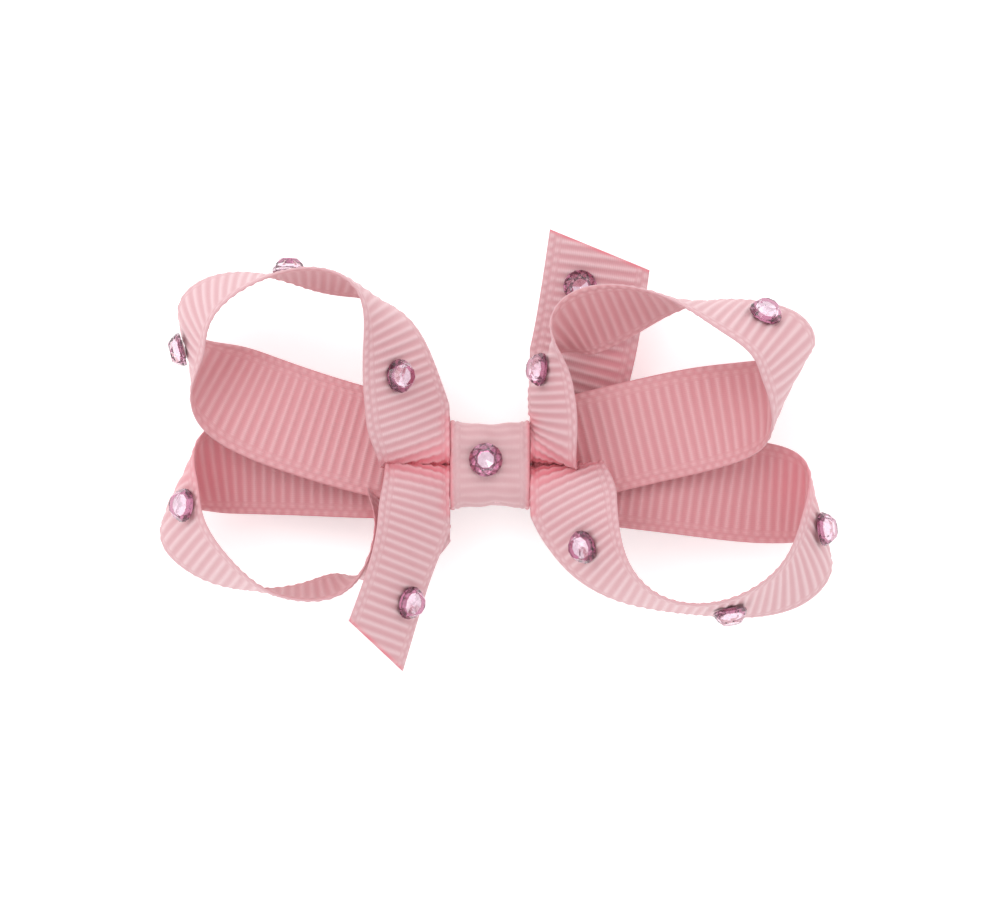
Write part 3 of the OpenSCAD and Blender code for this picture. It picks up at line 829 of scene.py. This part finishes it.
@dataclass(frozen=True)
class CrystalFinish:
    """Tinted lead glass, clear and sharp edged."""

    name: str = "rose_crystal"
    tint: Colour = (0.97, 0.86, 0.92)
    ior: float = 1.58
    roughness: float = 0.02
    cloud_scale: float = 900.0

    def make(self) -> Material:
        """Builds the glass with a faint, uneven depth of colour."""
        material, g, surface = shader(self.name)
        cloud = g.noise(g.object_place(), self.cloud_scale)
        pale = tuple(min(1.0, c * 1.06) for c in self.tint)
        g.put(g.blend(cloud, self.tint, pale), surface.inputs["Base Color"])
        g.put(self.roughness, surface.inputs["Roughness"])
        g.put(1.0, surface.inputs["Transmission Weight"])
        g.put(self.ior, surface.inputs["IOR"])
        return material


@dataclass(frozen=True)
class FoilFinish:
    """Silvered backing of a crystal with a warm plum cast, painted pale in the middle and deep plum
    on its outer facets as painted reflections.
    """

    name: str = "crystal_foil"
    middle: Colour = (0.93, 0.8, 0.87)
    ring: Colour = (0.5, 0.2, 0.31)
    metallic: float = 0.9
    roughness: float = 0.15
    mottle_scale: float = 2500.0

    def make(self) -> Material:
        """Builds the foil with fine mottling, and with its painted reflections: a pale middle and a
        plum ring.
        """
        material, g, surface = shader(self.name)
        mottle = g.add("ShaderNodeTexVoronoi")
        g.put(g.object_place(), mottle.inputs["Vector"])
        g.put(self.mottle_scale, mottle.inputs["Scale"])
        outward = g.add("ShaderNodeAttribute", attribute_name="outward")
        # Outer foil facets take the dark ring colour and the middle ones the pale colour: painted
        # reflections.
        share = g.ramp(mottle.outputs[0], 0.3, outward.outputs["Fac"])
        g.put(g.blend(share, self.middle, self.ring), surface.inputs["Base Color"])
        g.put(self.metallic, surface.inputs["Metallic"])
        g.put(self.roughness, surface.inputs["Roughness"])
        return material


@dataclass(frozen=True)
class PlatedFinish:
    """Nickel-plated or drawn steel."""

    name: str
    colour: Colour
    roughness: float
    line_scale: float = 4000.0
    dulling: float = 0.82
    bump: float = 0.15
    bump_m: float = 0.00002

    def make(self, wear: MetalWear) -> Material:
        """Builds the metal with drawn lines and smudges in its gloss."""
        material, g, surface = shader(self.name)
        marks = g.add("ShaderNodeGroup", node_tree=wear.tree)
        g.put(g.object_place(), marks.inputs["Place"])
        g.put(self.line_scale, marks.inputs["Line Scale"])
        dull = tuple(c * self.dulling for c in self.colour)
        colour = g.blend(marks.outputs["Smudge"], dull, self.colour)
        g.put(colour, surface.inputs["Base Color"])
        g.put(1.0, surface.inputs["Metallic"])
        rough = g.ramp(marks.outputs["Line"], 0.25, self.roughness - 0.1)
        g.put(rough, surface.inputs["Roughness"])
        g.bump(surface, marks.outputs["Line"], self.bump, self.bump_m)
        return material


@dataclass(frozen=True)
class AdhesiveFinish:
    """Clear or milky cured glue, or waxed thread."""

    name: str
    colour: Colour
    roughness: float
    bubble_scale: float = 1800.0
    darkening: float = 0.9
    bump: float = 0.3
    bump_m: float = 0.00003

    def make(self) -> Material:
        """Builds the glue with small bubbles."""
        material, g, surface = shader(self.name)
        bubbles = g.noise(g.object_place(), self.bubble_scale)
        dark = tuple(c * self.darkening for c in self.colour)
        g.put(g.blend(bubbles, dark, self.colour), surface.inputs["Base Color"])
        g.put(self.roughness, surface.inputs["Roughness"])
        g.bump(surface, bubbles, self.bump, self.bump_m)
        return material


class Finishes:
    """Every material of the bow, built once."""

    def __init__(self, weave: Weave) -> None:
        """Builds the shared groups, then the materials."""
        fibres, wear = FibreWeave(), MetalWear()
        # Ridge and valley colours paint the ribs' light and shade; the inner pair is a darker copy
        # for the inner faces as painted shade, and deep is the painted fold shade, also used on the
        # sealed cut ends. The soft pair is the wrap's, with less rib contrast.
        pink, rose, deep = (0.775, 0.545, 0.57), (0.625, 0.325, 0.355), (0.76, 0.18, 0.225)
        shaded_inner_pink, shaded_inner_rose = (0.79, 0.48, 0.505), (0.67, 0.3, 0.33)
        soft_pink, soft_rose = (0.69, 0.45, 0.47), (0.61, 0.355, 0.38)
        cloth = (weave.rib_pitch_mm, weave.warp_pitch_mm, weave.width_mm, weave.selvage_mm)
        inside = (shaded_inner_pink, shaded_inner_rose, deep, *cloth)
        self.ribbon = GrosgrainFinish("pink_grosgrain", pink, rose, *inside).make(fibres)
        self.wrap = GrosgrainFinish("wrap_grosgrain", soft_pink, soft_rose, *inside).make(fibres)
        self.lining = GrosgrainFinish("lining_grosgrain", pink, rose, *inside).make(fibres)
        self.crystal = CrystalFinish().make()
        self.foil = FoilFinish().make()
        self.plated = PlatedFinish("nickel_plate", (0.78, 0.77, 0.75), 0.24).make(wear)
        self.pin = PlatedFinish("bright_pin", (0.8, 0.8, 0.79), 0.18).make(wear)
        self.wire = PlatedFinish("spring_wire", (0.52, 0.52, 0.54), 0.3).make(wear)
        self.film = AdhesiveFinish("stone_glue", (0.9, 0.84, 0.83), 0.15).make()
        self.hot_melt = AdhesiveFinish("hot_melt", (0.88, 0.83, 0.72), 0.4).make()
        self.thread = AdhesiveFinish("sewing_thread", (0.85, 0.55, 0.58), 0.7).make()


# ---------------------------------------------------------------- the bow's ribbons


@dataclass(frozen=True)
class Shade:
    """A place, in millimetres, where a ribbon lies deep in the folds and painted shade darkens its
    colour.
    """

    x: float
    y: float
    radius: float
    strength: float


@dataclass
class RibbonPiece:
    """One loop or tail of the bow."""

    node: str
    stations: Sequence[Station]
    face: Face
    cut_deg: float | None = None
    shades: Sequence[Shade] = ()
    samples_per_rib: int = 9
    rolled_root: bool = True
    gather: Gather = field(default_factory=Gather)
    fold_shade: FoldShade = field(default_factory=FoldShade)

    def build(
        self, loom: RibbedRibbon, material: Material, base_mm: float, root_mm: float
    ) -> Object:
        """Args:
            loom: The tree that makes ribs and beads.
            material: The ribbon's finish.
            base_mm: Height of the waist's underside.
            root_mm: Where the ribbon stops beside the knot.

        Returns:
            The finished ribbon.
        """
        path = RibbonPath(self.stations, self.face, base_mm, root_mm, loom.weave, self.gather)
        table_u, table_s = path.stretch()
        length = float(table_s[-1])
        steps = int(length / loom.weave.rib_pitch_mm * self.samples_per_rib)
        v = columns_across(loom.weave)
        grid_v = np.tile(v, (steps + 1, 1))
        s = np.tile(np.linspace(0, length, steps + 1)[:, None], (1, len(v)))
        sealed = np.zeros_like(s)
        if self.cut_deg is not None:
            lean = loom.weave.width_mm / 2 * math.tan(math.radians(self.cut_deg))
            share = s / length
            s = share * (length - lean) + share**3 * lean * grid_v
            ends = s[-1:, :]
            sealed = smooth(1 - (ends - s) / loom.weave.seal_mm)
        u = np.interp(s, table_s, table_u)
        gather = self.gather
        tuck = 1.0
        along = s
        if self.rolled_root:
            tuck = gather.tuck_share + (1 - gather.tuck_share) * smooth(s / gather.tuck_mm)
            crowded = gather.crowd_share * gather.crowd_mm
            along = s + crowded * (1 - np.exp(-s / gather.crowd_mm))
        points, normals = path.surface(u, grid_v, tuck)
        if self.rolled_root:
            fade = 1 - smooth(s / gather.tuck_mm)
            points[..., 1] -= np.sign(points[..., 1]) * gather.close_mm * fade
            fold = gather.pleat_mm * fade * np.cos(gather.pleats * math.tau * grid_v)
            points += normals * fold[..., None]
        across = grid_v * loom.weave.width_mm / 2
        crease = self._crease(points, s, length, root_mm)
        sheet = SheetMesh(self.node + "_ribbon", points, normals, along, across, sealed, crease)
        obj = loom.weave_piece(sheet, material)
        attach(obj, Body.BOW.value)
        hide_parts(self.node)
        log.info("%s: %.1f mm of ribbon, %d faces", self.node, length, len(obj.data.polygons))
        return obj

    def _crease(
        self, points: np.ndarray, s: np.ndarray, length: float, root_mm: float
    ) -> np.ndarray:
        """How much painted shade each point gets for lying deep in the folds, from 0 to 1."""
        fold_shade = self.fold_shade
        x, y = points[..., 0], points[..., 1]
        beside = 1 - smooth((np.abs(x) - root_mm) / fold_shade.beside_mm)
        beside = beside * (1 - smooth(np.abs(y) - self.gather.knot_half_mm))
        out = np.hypot(x, y) - root_mm
        near_knot = 1 - smooth((out - fold_shade.back_start_mm) / fold_shade.back_run_mm)
        back = fold_shade.back * near_knot * smooth(s / length * 4 - 2)
        total = np.maximum(fold_shade.beside * beside, back)
        if self.rolled_root:
            total = np.maximum(total, 1 - smooth((s - fold_shade.root_start_mm) / fold_shade.root_run_mm))
        for spot in self.shades:
            near = np.hypot(x - spot.x, y - spot.y) / spot.radius
            total = np.maximum(total, spot.strength * (1 - smooth(near)))
        return np.clip(total, 0, 1)


@dataclass
class Ribbons:
    """The four loops and the two tails."""

    tail_cut_deg: float = 15.0
    gather: Gather = field(default_factory=Gather)

    def pieces(self) -> list[RibbonPiece]:
        """The six lengths of ribbon that leave the knot."""
        return [
            RibbonPiece("upper_left_loop", UPPER_LEFT, Face.OUTWARD),
            RibbonPiece("upper_right_loop", UPPER_RIGHT, Face.INWARD),
            RibbonPiece(
                "lower_left_loop", LOWER_LEFT, Face.INWARD,
                shades=(Shade(-28, 0, 7, 0.45), Shade(-9.5, -6, 4, 0.6)), rolled_root=False,
            ),
            RibbonPiece(
                "lower_right_loop", LOWER_RIGHT, Face.OUTWARD, shades=(Shade(30, -1, 6, 0.4),)
            ),
            RibbonPiece(
                "upper_tail", UPPER_TAIL, Face.OUTWARD, self.tail_cut_deg,
                shades=(Shade(11.5, 9.5, 5.5, 0.4),), rolled_root=False, gather=Gather(bulge_mm=0),
            ),
            RibbonPiece("lower_tail", LOWER_TAIL, Face.INWARD, self.tail_cut_deg),
        ]

    def build(self, loom: RibbedRibbon, finishes: Finishes) -> list[Object]:
        """Builds all six, measured from the knot's own gathered waist."""
        low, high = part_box("gathered_waist")
        base_mm = low.z / MM
        root_mm = high.x / MM + self.gather.clearance_mm
        return [p.build(loom, finishes.ribbon, base_mm, root_mm) for p in self.pieces()]


# ---------------------------------------------------------------- the knot


def rounded_outline(
    half: float, low: float, high: float, r_top: float, r_low: float, steps: int
) -> tuple[np.ndarray, np.ndarray, float]:
    """A rounded rectangle in Y and Z, walked from the middle of its underside.

    Args:
        half: Half its width.
        low: Height of its underside.
        high: Height of its top.
        r_top: Radius of the upper corners.
        r_low: Radius of the lower corners.
        steps: Number of equal steps round it.

    Returns:
        Points, outward normals and the length round it.
    """
    spots, normals = [], []
    corners = (
        (half - r_low, low + r_low, r_low, -90),
        (half - r_top, high - r_top, r_top, 0),
        (r_top - half, high - r_top, r_top, 90),
        (r_low - half, low + r_low, r_low, 180),
    )
    spots.append((0.0, low))
    normals.append((0.0, -1.0))
    for y, z, radius, start in corners:
        for k in range(13):
            a = math.radians(start + 90 * k / 12)
            spots.append((y + radius * math.cos(a), z + radius * math.sin(a)))
            normals.append((math.cos(a), math.sin(a)))
    spots.append((0.0, low))
    normals.append((0.0, -1.0))
    p, n = np.array(spots), np.array(normals)
    s = np.concatenate([[0.0], np.cumsum(np.linalg.norm(np.diff(p, axis=0), axis=1))])
    at = np.linspace(0, s[-1], steps + 1)
    points = np.stack([np.interp(at, s, p[:, k]) for k in (0, 1)], -1)
    outward = unit(np.stack([np.interp(at, s, n[:, k]) for k in (0, 1)], -1))
    return points, outward, float(s[-1])


@dataclass
class KnotWrap:
    """The short length of ribbon wound round the waist and the clip's upper arm."""

    top_corner_mm: float = 1.9
    low_corner_mm: float = 0.6
    saddle_mm: float = 0.45
    overlap_mm: float = 1.5
    lap_lift_mm: float = 0.5
    lap_run_mm: float = 2.5
    crumple_mm: float = 0.12
    relief: float = 0.55
    edge_shade: float = 0.6
    edge_start: float = 0.86
    samples_per_rib: int = 8
    outline_steps: int = 4000

    def build(self, loom: RibbedRibbon, material: Material) -> Object:
        low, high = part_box("knot_wrap")
        half, bottom, top = high.y / MM, low.z / MM, high.z / MM
        wide = high.x / MM
        skin = loom.weave.core_mm / 2 + loom.weave.rib_height_mm
        flat, normal, round_mm = rounded_outline(
            half - skin, bottom + skin, top - skin,
            self.top_corner_mm, self.low_corner_mm, self.outline_steps,
        )
        ribs = round(round_mm / loom.weave.rib_pitch_mm)
        pitch = round_mm / ribs
        total = round_mm + self.overlap_mm
        steps = int(total / pitch * self.samples_per_rib)
        s = np.linspace(0, total, steps + 1)
        at = (s % round_mm) / round_mm * (len(flat) - 1)
        grid = np.arange(len(flat))
        y, z = (np.interp(at, grid, flat[:, k]) for k in (0, 1))
        ny, nz = (np.interp(at, grid, normal[:, k]) for k in (0, 1))
        lift = self.lap_lift_mm * smooth((s - round_mm + self.lap_run_mm) / self.lap_run_mm)
        v = columns_across(loom.weave)
        x = v * wide
        saddle = 1 + self.saddle_mm / half * (v**2 - 0.6)
        front = smooth((z - bottom) / (top - bottom) * 1.6 - 0.5)
        wrinkle = (
            np.sin(2.1 * x[None, :] + 0.9 * y[:, None] + 0.6)
            + 0.7 * np.sin(1.1 * x[None, :] - 1.9 * y[:, None] + 2.0)
        )
        held = 1 - 0.5 * v[None, :] ** 2
        bump = lift[:, None] + self.crumple_mm * wrinkle * front[:, None] * held
        points = np.stack(
            [
                np.broadcast_to(x, (steps + 1, len(v))),
                y[:, None] * saddle[None, :] + ny[:, None] * bump,
                z[:, None] + nz[:, None] * bump,
            ],
            -1,
        )
        along = np.broadcast_to(s[:, None], (steps + 1, len(v)))
        across = np.broadcast_to(v * loom.weave.width_mm / 2, (steps + 1, len(v)))
        tangent = np.gradient(points, axis=0)
        sideways = np.gradient(points, axis=1)
        facing = unit(np.cross(tangent, sideways))
        if np.mean(facing[..., 1] * ny[:, None] + facing[..., 2] * nz[:, None]) < 0:
            points, facing = points[:, ::-1], -facing[:, ::-1]
            across = across[:, ::-1]
        none = np.zeros_like(along)
        out = np.abs(across) / loom.weave.width_mm * 2
        crease = self.edge_shade * smooth((out - self.edge_start) / (1 - self.edge_start))
        sheet = SheetMesh("knot_wrap_ribbon", points, facing, along, across, none, crease)
        obj = loom.weave_piece(sheet, material, pitch, self.relief)
        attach(obj, Body.BOW.value)
        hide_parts("knot_wrap")
        log.info("knot_wrap: %.1f mm of ribbon, %d ribs", total, ribs)
        return obj


@dataclass
class GatheredWaist:
    """The ribbon's middle, folded into pleats inside the knot."""

    pleats: int = 26
    pleat_mm: float = 0.22
    pinch_mm: float = 0.4
    pinch_run_mm: float = 1.3
    corner_mm: float = 1.6
    inset_mm: float = 0.03
    steps_round: int = 260
    steps_along: int = 22

    def build(self, material: Material) -> Object:
        """Builds the pleated bundle as a closed mesh inside its CAD solid."""
        low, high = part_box("gathered_waist")
        half, bottom, top, wide = high.y / MM, low.z / MM, high.z / MM, high.x / MM
        corner = self.corner_mm
        flat, normal, _ = rounded_outline(half, bottom, top, corner, corner, self.steps_round)
        flat, normal = flat[:-1], normal[:-1]
        turn = np.linspace(0, math.tau, len(flat), endpoint=False)
        fold = self.pleat_mm * (0.5 - 0.5 * np.cos(self.pleats * turn + 0.8 * np.sin(3 * turn)))
        xs = np.linspace(-wide, wide, self.steps_along + 1)
        verts, faces = [], []
        for x in xs:
            deep = self.inset_mm + fold + self.pinch_mm * math.exp(-((x / self.pinch_run_mm) ** 2))
            ring = flat - normal * deep[:, None]
            verts += [(x, float(y), float(z)) for y, z in ring]
        n = len(flat)
        for i in range(self.steps_along):
            for k in range(n):
                m = (k + 1) % n
                faces.append((i * n + k, i * n + m, (i + 1) * n + m, (i + 1) * n + k))
        centre_z = (bottom + top) / 2
        for x, first, turned in ((-wide, 0, True), (wide, self.steps_along * n, False)):
            hub = len(verts)
            verts.append((x, 0.0, centre_z))
            for k in range(n):
                a, b = first + k, first + (k + 1) % n
                faces.append((hub, b, a) if turned else (hub, a, b))
        mesh = bpy.data.meshes.new("gathered_waist_pleats")
        mesh.from_pydata([tuple(c * MM for c in p) for p in verts], [], faces)
        layer = mesh.uv_layers.new(name="weave")
        for loop in mesh.loops:
            x, y, z = mesh.vertices[loop.vertex_index].co
            layer.data[loop.index].uv = (x / (UV_MM * MM), math.atan2(y, z - centre_z * MM))
        mesh.materials.append(material)
        mesh.shade_smooth()
        obj = placed("gathered_waist_pleats", mesh)
        recalculate(obj)
        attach(obj, Body.BOW.value)
        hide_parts("gathered_waist")
        log.info("gathered_waist: %d pleats", self.pleats)
        return obj


def recalculate(obj: Object) -> None:
    """Points a closed mesh's faces outwards."""
    work = bmesh.new()
    work.from_mesh(obj.data)
    bmesh.ops.recalc_face_normals(work, faces=work.faces)
    work.to_mesh(obj.data)
    work.free()


# ---------------------------------------------------------------- the crystals


@dataclass
class Crystal:
    """A flat-backed round stone with a table and two rows of facets."""

    node: str
    turn_deg: float
    table_share: float = 0.56
    crown_share: float = 0.82
    girdle_mm: float = 0.28
    crown_mm: float = 0.85
    back_share: float = 0.985
    sink_mm: float = 0.02
    foil_share: float = 0.5
    foil_mm: float = 0.3
    foil_hub_mm: float = 0.12

    def seat(self) -> tuple[np.ndarray, np.ndarray, float, float]:
        """Reads the stone's place off its CAD node.

        Returns:
            The centre of its flat back, the direction it faces, its radius and its height.
        """
        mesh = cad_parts[self.node].data
        areas: dict[tuple[float, ...], float] = {}
        for face in mesh.polygons:
            key = tuple(round(c, 2) for c in face.normal)
            areas[key] = areas.get(key, 0.0) + face.area
        back = unit(np.array(max(areas, key=lambda k: areas[k])))
        co = np.array([v.co for v in mesh.vertices]) / MM
        depth = co @ back
        rim = co[depth > depth.max() - 0.01]
        centre, radius = fitted_circle(rim, back)
        return centre, -back, radius, float(depth.max() - depth.min())

    def build(self, glass: Material, foil: Material) -> Object:
        """Cuts the stone and lays a faceted foil under it."""
        centre, facing, radius, height = self.seat()
        side = unit(np.cross(facing, (0.3, 1.0, 0.2)))
        up = np.cross(facing, side)
        turn = math.radians(self.turn_deg)

        def ring(share: float, z: float, count: int, offset: float) -> list[np.ndarray]:
            """Points round the stone at one height."""
            r = radius * share
            angles = [turn + math.tau * (k + offset) / count for k in range(count)]
            return [
                centre + (side * math.cos(a) + up * math.sin(a)) * r + facing * z for a in angles
            ]

        rings = [
            ring(self.back_share, self.sink_mm, 16, 0.0),
            ring(1.0, self.girdle_mm, 16, 0.0),
            ring(self.crown_share, self.crown_mm, 8, 0.25),
            ring(self.table_share, height, 8, 0.75),
        ]
        verts = [p for r in rings for p in r]
        faces: list[tuple[int, ...]] = []
        for k in range(16):
            m = (k + 1) % 16
            faces.append((k, m, 16 + m, 16 + k))
        for k in range(8):
            a, b, c = 16 + 2 * k, 16 + 2 * k + 1, 16 + (2 * k + 2) % 16
            crown, after = 32 + k, 32 + (k + 1) % 8
            table, table_after = 40 + k, 40 + (k + 1) % 8
            faces += [(a, b, crown), (b, c, after), (b, after, crown)]
            faces += [(crown, after, table), (table, after, table_after)]
        faces.append(tuple(range(40, 48)))
        marks = [0] * len(faces)
        first_foil = len(faces)
        first = len(verts)
        verts += ring(self.foil_share, self.foil_mm, 8, 0.5)
        hub = len(verts)
        verts.append(centre + facing * self.foil_hub_mm)
        for k in range(8):
            a, b, c = 2 * k, 2 * k + 1, (2 * k + 2) % 16
            inner, before = first + k, first + (k - 1) % 8
            faces += [(b, a, inner), (c, b, inner), (a, before, inner), (inner, before, hub)]
            marks += [1] * 4
        mesh = bpy.data.meshes.new(self.node + "_cut")
        mesh.from_pydata([tuple(float(c) * MM for c in p) for p in verts], [], faces)
        mesh.materials.append(glass)
        mesh.materials.append(foil)
        for face, mark in zip(mesh.polygons, marks):
            face.material_index = mark
        layer = mesh.attributes.new("outward", "FLOAT", "FACE")
        outward = [float(k < first_foil or (k - first_foil) % 4 < 3) for k in range(len(faces))]
        layer.data.foreach_set("value", outward)
        obj = placed(self.node + "_cut", mesh)
        recalculate(obj)
        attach(obj, Body.BOW.value)
        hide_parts(self.node)
        return obj


def fitted_circle(rim: np.ndarray, axis: np.ndarray) -> tuple[np.ndarray, float]:
    """Fits a circle to points that lie in one plane.

    Args:
        rim: Points on the circle.
        axis: Unit normal of their plane.

    Returns:
        The circle's centre and radius.
    """
    side = unit(np.cross(axis, (0.3, 1.0, 0.2)))
    up = np.cross(axis, side)
    flat = np.stack([rim @ side, rim @ up], -1)
    terms = np.hstack([2 * flat, np.ones((len(flat), 1))])
    (a, b, rest), *_ = np.linalg.lstsq(terms, np.sum(flat**2, -1), rcond=None)
    centre = side * a + up * b + axis * float(np.mean(rim @ axis))
    return centre, math.sqrt(rest + a * a + b * b)


@dataclass
class Crystals:
    """All the stones of the bow."""

    first_turn_deg: float = 7.0
    turn_step_deg: float = 13.0

    def build(self, finishes: Finishes) -> list[Object]:
        """Cuts one stone for each CAD stone, each turned a little differently."""
        nodes = sorted(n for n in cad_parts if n.startswith("rhinestone_"))
        made = [
            Crystal(node, self.first_turn_deg + self.turn_step_deg * k).build(
                finishes.crystal, finishes.foil
            )
            for k, node in enumerate(nodes)
        ]
        log.info("crystals: %d", len(made))
        return made


# ---------------------------------------------------------------- the clip


@dataclass
class Clip:
    """The steel clip under the bow, its lining and its glue."""

    lining_corner_mm: float = 1.6
    samples_per_rib: int = 8

    def dress(self, finishes: Finishes) -> None:
        """Gives the clip's own solids their finishes."""
        wanted = {
            "clip_upper_arm": finishes.plated,
            "clip_lower_jaw": finishes.plated,
            "clip_hinge_pin": finishes.pin,
            "clip_spring": finishes.wire,
            "clip_spring_leg": finishes.wire,
            "glue_pad": finishes.hot_melt,
            "stone_adhesive": finishes.film,
            "binding_thread": finishes.thread,
        }
        for node, material in wanted.items():
            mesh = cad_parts[node].data
            mesh.materials.clear()
            mesh.materials.append(material)
        log.info("clip: %d solids dressed", len(wanted))

    def line(self, loom: RibbedRibbon, material: Material) -> Object:
        """Lays the lining ribbon along the upper arm, with its corners trimmed round."""
        low, high = (np.array(c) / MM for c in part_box("clip_lining"))
        corner = self.lining_corner_mm
        length = high[0] - low[0]
        steps = int(length / loom.weave.rib_pitch_mm * self.samples_per_rib)
        s = np.linspace(0, length, steps + 1)
        end = np.minimum(s, length - s)
        deep = np.clip(corner - end, 0, corner)
        half = (high[1] - low[1]) / 2 - corner + np.sqrt(corner**2 - deep**2)
        v = columns_across(loom.weave)
        middle = (low[2] + high[2]) / 2
        grid = (steps + 1, len(v))
        points = np.stack(
            [
                np.broadcast_to((low[0] + s)[:, None], grid),
                half[:, None] * v[None, :],
                np.full(grid, middle),
            ],
            -1,
        )
        normals = np.broadcast_to(np.array([0.0, 0.0, 1.0]), (*grid, 3))
        along = np.broadcast_to(s[:, None], grid)
        across = np.broadcast_to(v * (high[1] - low[1]) / 2, grid)
        none = np.zeros(grid)
        sheet = SheetMesh("clip_lining_ribbon", points, normals, along, across, none, none)
        obj = loom.weave_piece(sheet, material)
        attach(obj, Body.BOW.value)
        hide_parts("clip_lining")
        log.info("clip_lining: %.1f mm long", length)
        return obj


# ---------------------------------------------------------------- studio


@dataclass(frozen=True)
class Studio:
    """Camera, floor and soft light."""

    aim_x_mm: float = 0.945
    aim_y_mm: float = 1.04
    distance_mm: float = 600.0
    focus_z_mm: float = 10.0
    view_width_mm: float = 94.5
    floor_m: float = 2.0
    floor_glow: float = 0.3
    floor_drop_m: float = 0.00002
    sky: float = 1.0
    key_watts: float = 0.8
    key_size_m: float = 0.35
    key_place_m: tuple[float, float, float] = (-0.16, 0.22, 0.5)

    def camera(self) -> None:
        """Puts the camera straight above the bow's face."""
        data = bpy.data.cameras.new("studio_camera")
        data.sensor_width = 36.0
        data.lens = data.sensor_width * self.distance_mm / self.view_width_mm
        data.clip_start, data.clip_end = 0.01, 10
        camera = placed("studio_camera", data)
        camera.location = (
            self.aim_x_mm * MM,
            self.aim_y_mm * MM,
            (self.focus_z_mm + self.distance_mm) * MM,
        )
        bpy.context.scene.camera = camera

    def floor(self) -> None:
        """Lays a plain pale floor under the clip."""
        half = self.floor_m / 2
        mesh = bpy.data.meshes.new("floor")
        corners = [(-half, -half, 0), (half, -half, 0), (half, half, 0), (-half, half, 0)]
        mesh.from_pydata(corners, [], [(0, 1, 2, 3)])
        material, g, surface = shader("floor_paper")
        g.put((0.96, 0.96, 0.96, 1), surface.inputs["Base Color"])
        g.put(0.9, surface.inputs["Roughness"])
        g.put((1, 1, 1, 1), surface.inputs["Emission Color"])
        g.put(self.floor_glow, surface.inputs["Emission Strength"])
        mesh.materials.append(material)
        obj = placed("floor", mesh)
        obj.location = (0, 0, -self.floor_drop_m)

    def lights(self) -> None:
        """A bright even sky and one wide soft light above."""
        world = bpy.data.worlds.new("soft_sky")
        world.use_nodes = True
        back = world.node_tree.nodes["Background"]
        back.inputs["Color"].default_value = (1.0, 1.0, 1.0, 1)
        back.inputs["Strength"].default_value = self.sky
        bpy.context.scene.world = world
        data = bpy.data.lights.new("key_light", "AREA")
        data.energy = self.key_watts
        data.size = self.key_size_m
        light = placed("key_light", data)
        light.location = self.key_place_m
        aim = light.location * -1
        light.rotation_mode = "QUATERNION"
        light.rotation_quaternion = aim.to_track_quat("-Z", "Y")

    def build(self) -> None:
        """Sets up the camera first, then the floor and the light."""
        self.camera()
        self.floor()
        self.lights()
        bpy.context.scene.view_settings.view_transform = "Standard"


def main() -> None:
    """Builds the studio, then the bow, piece by piece."""
    logging.basicConfig(level=logging.INFO, format="%(name)s: %(message)s")
    Studio().build()
    weave = Weave()
    finishes = Finishes(weave)
    loom = RibbedRibbon(weave)
    Ribbons().build(loom, finishes)
    KnotWrap().build(loom, finishes.wrap)
    GatheredWaist().build(finishes.ribbon)
    Crystals().build(finishes)
    clip = Clip()
    clip.dress(finishes)
    clip.line(loom, finishes.lining)


if __name__ == "__main__":
    main()
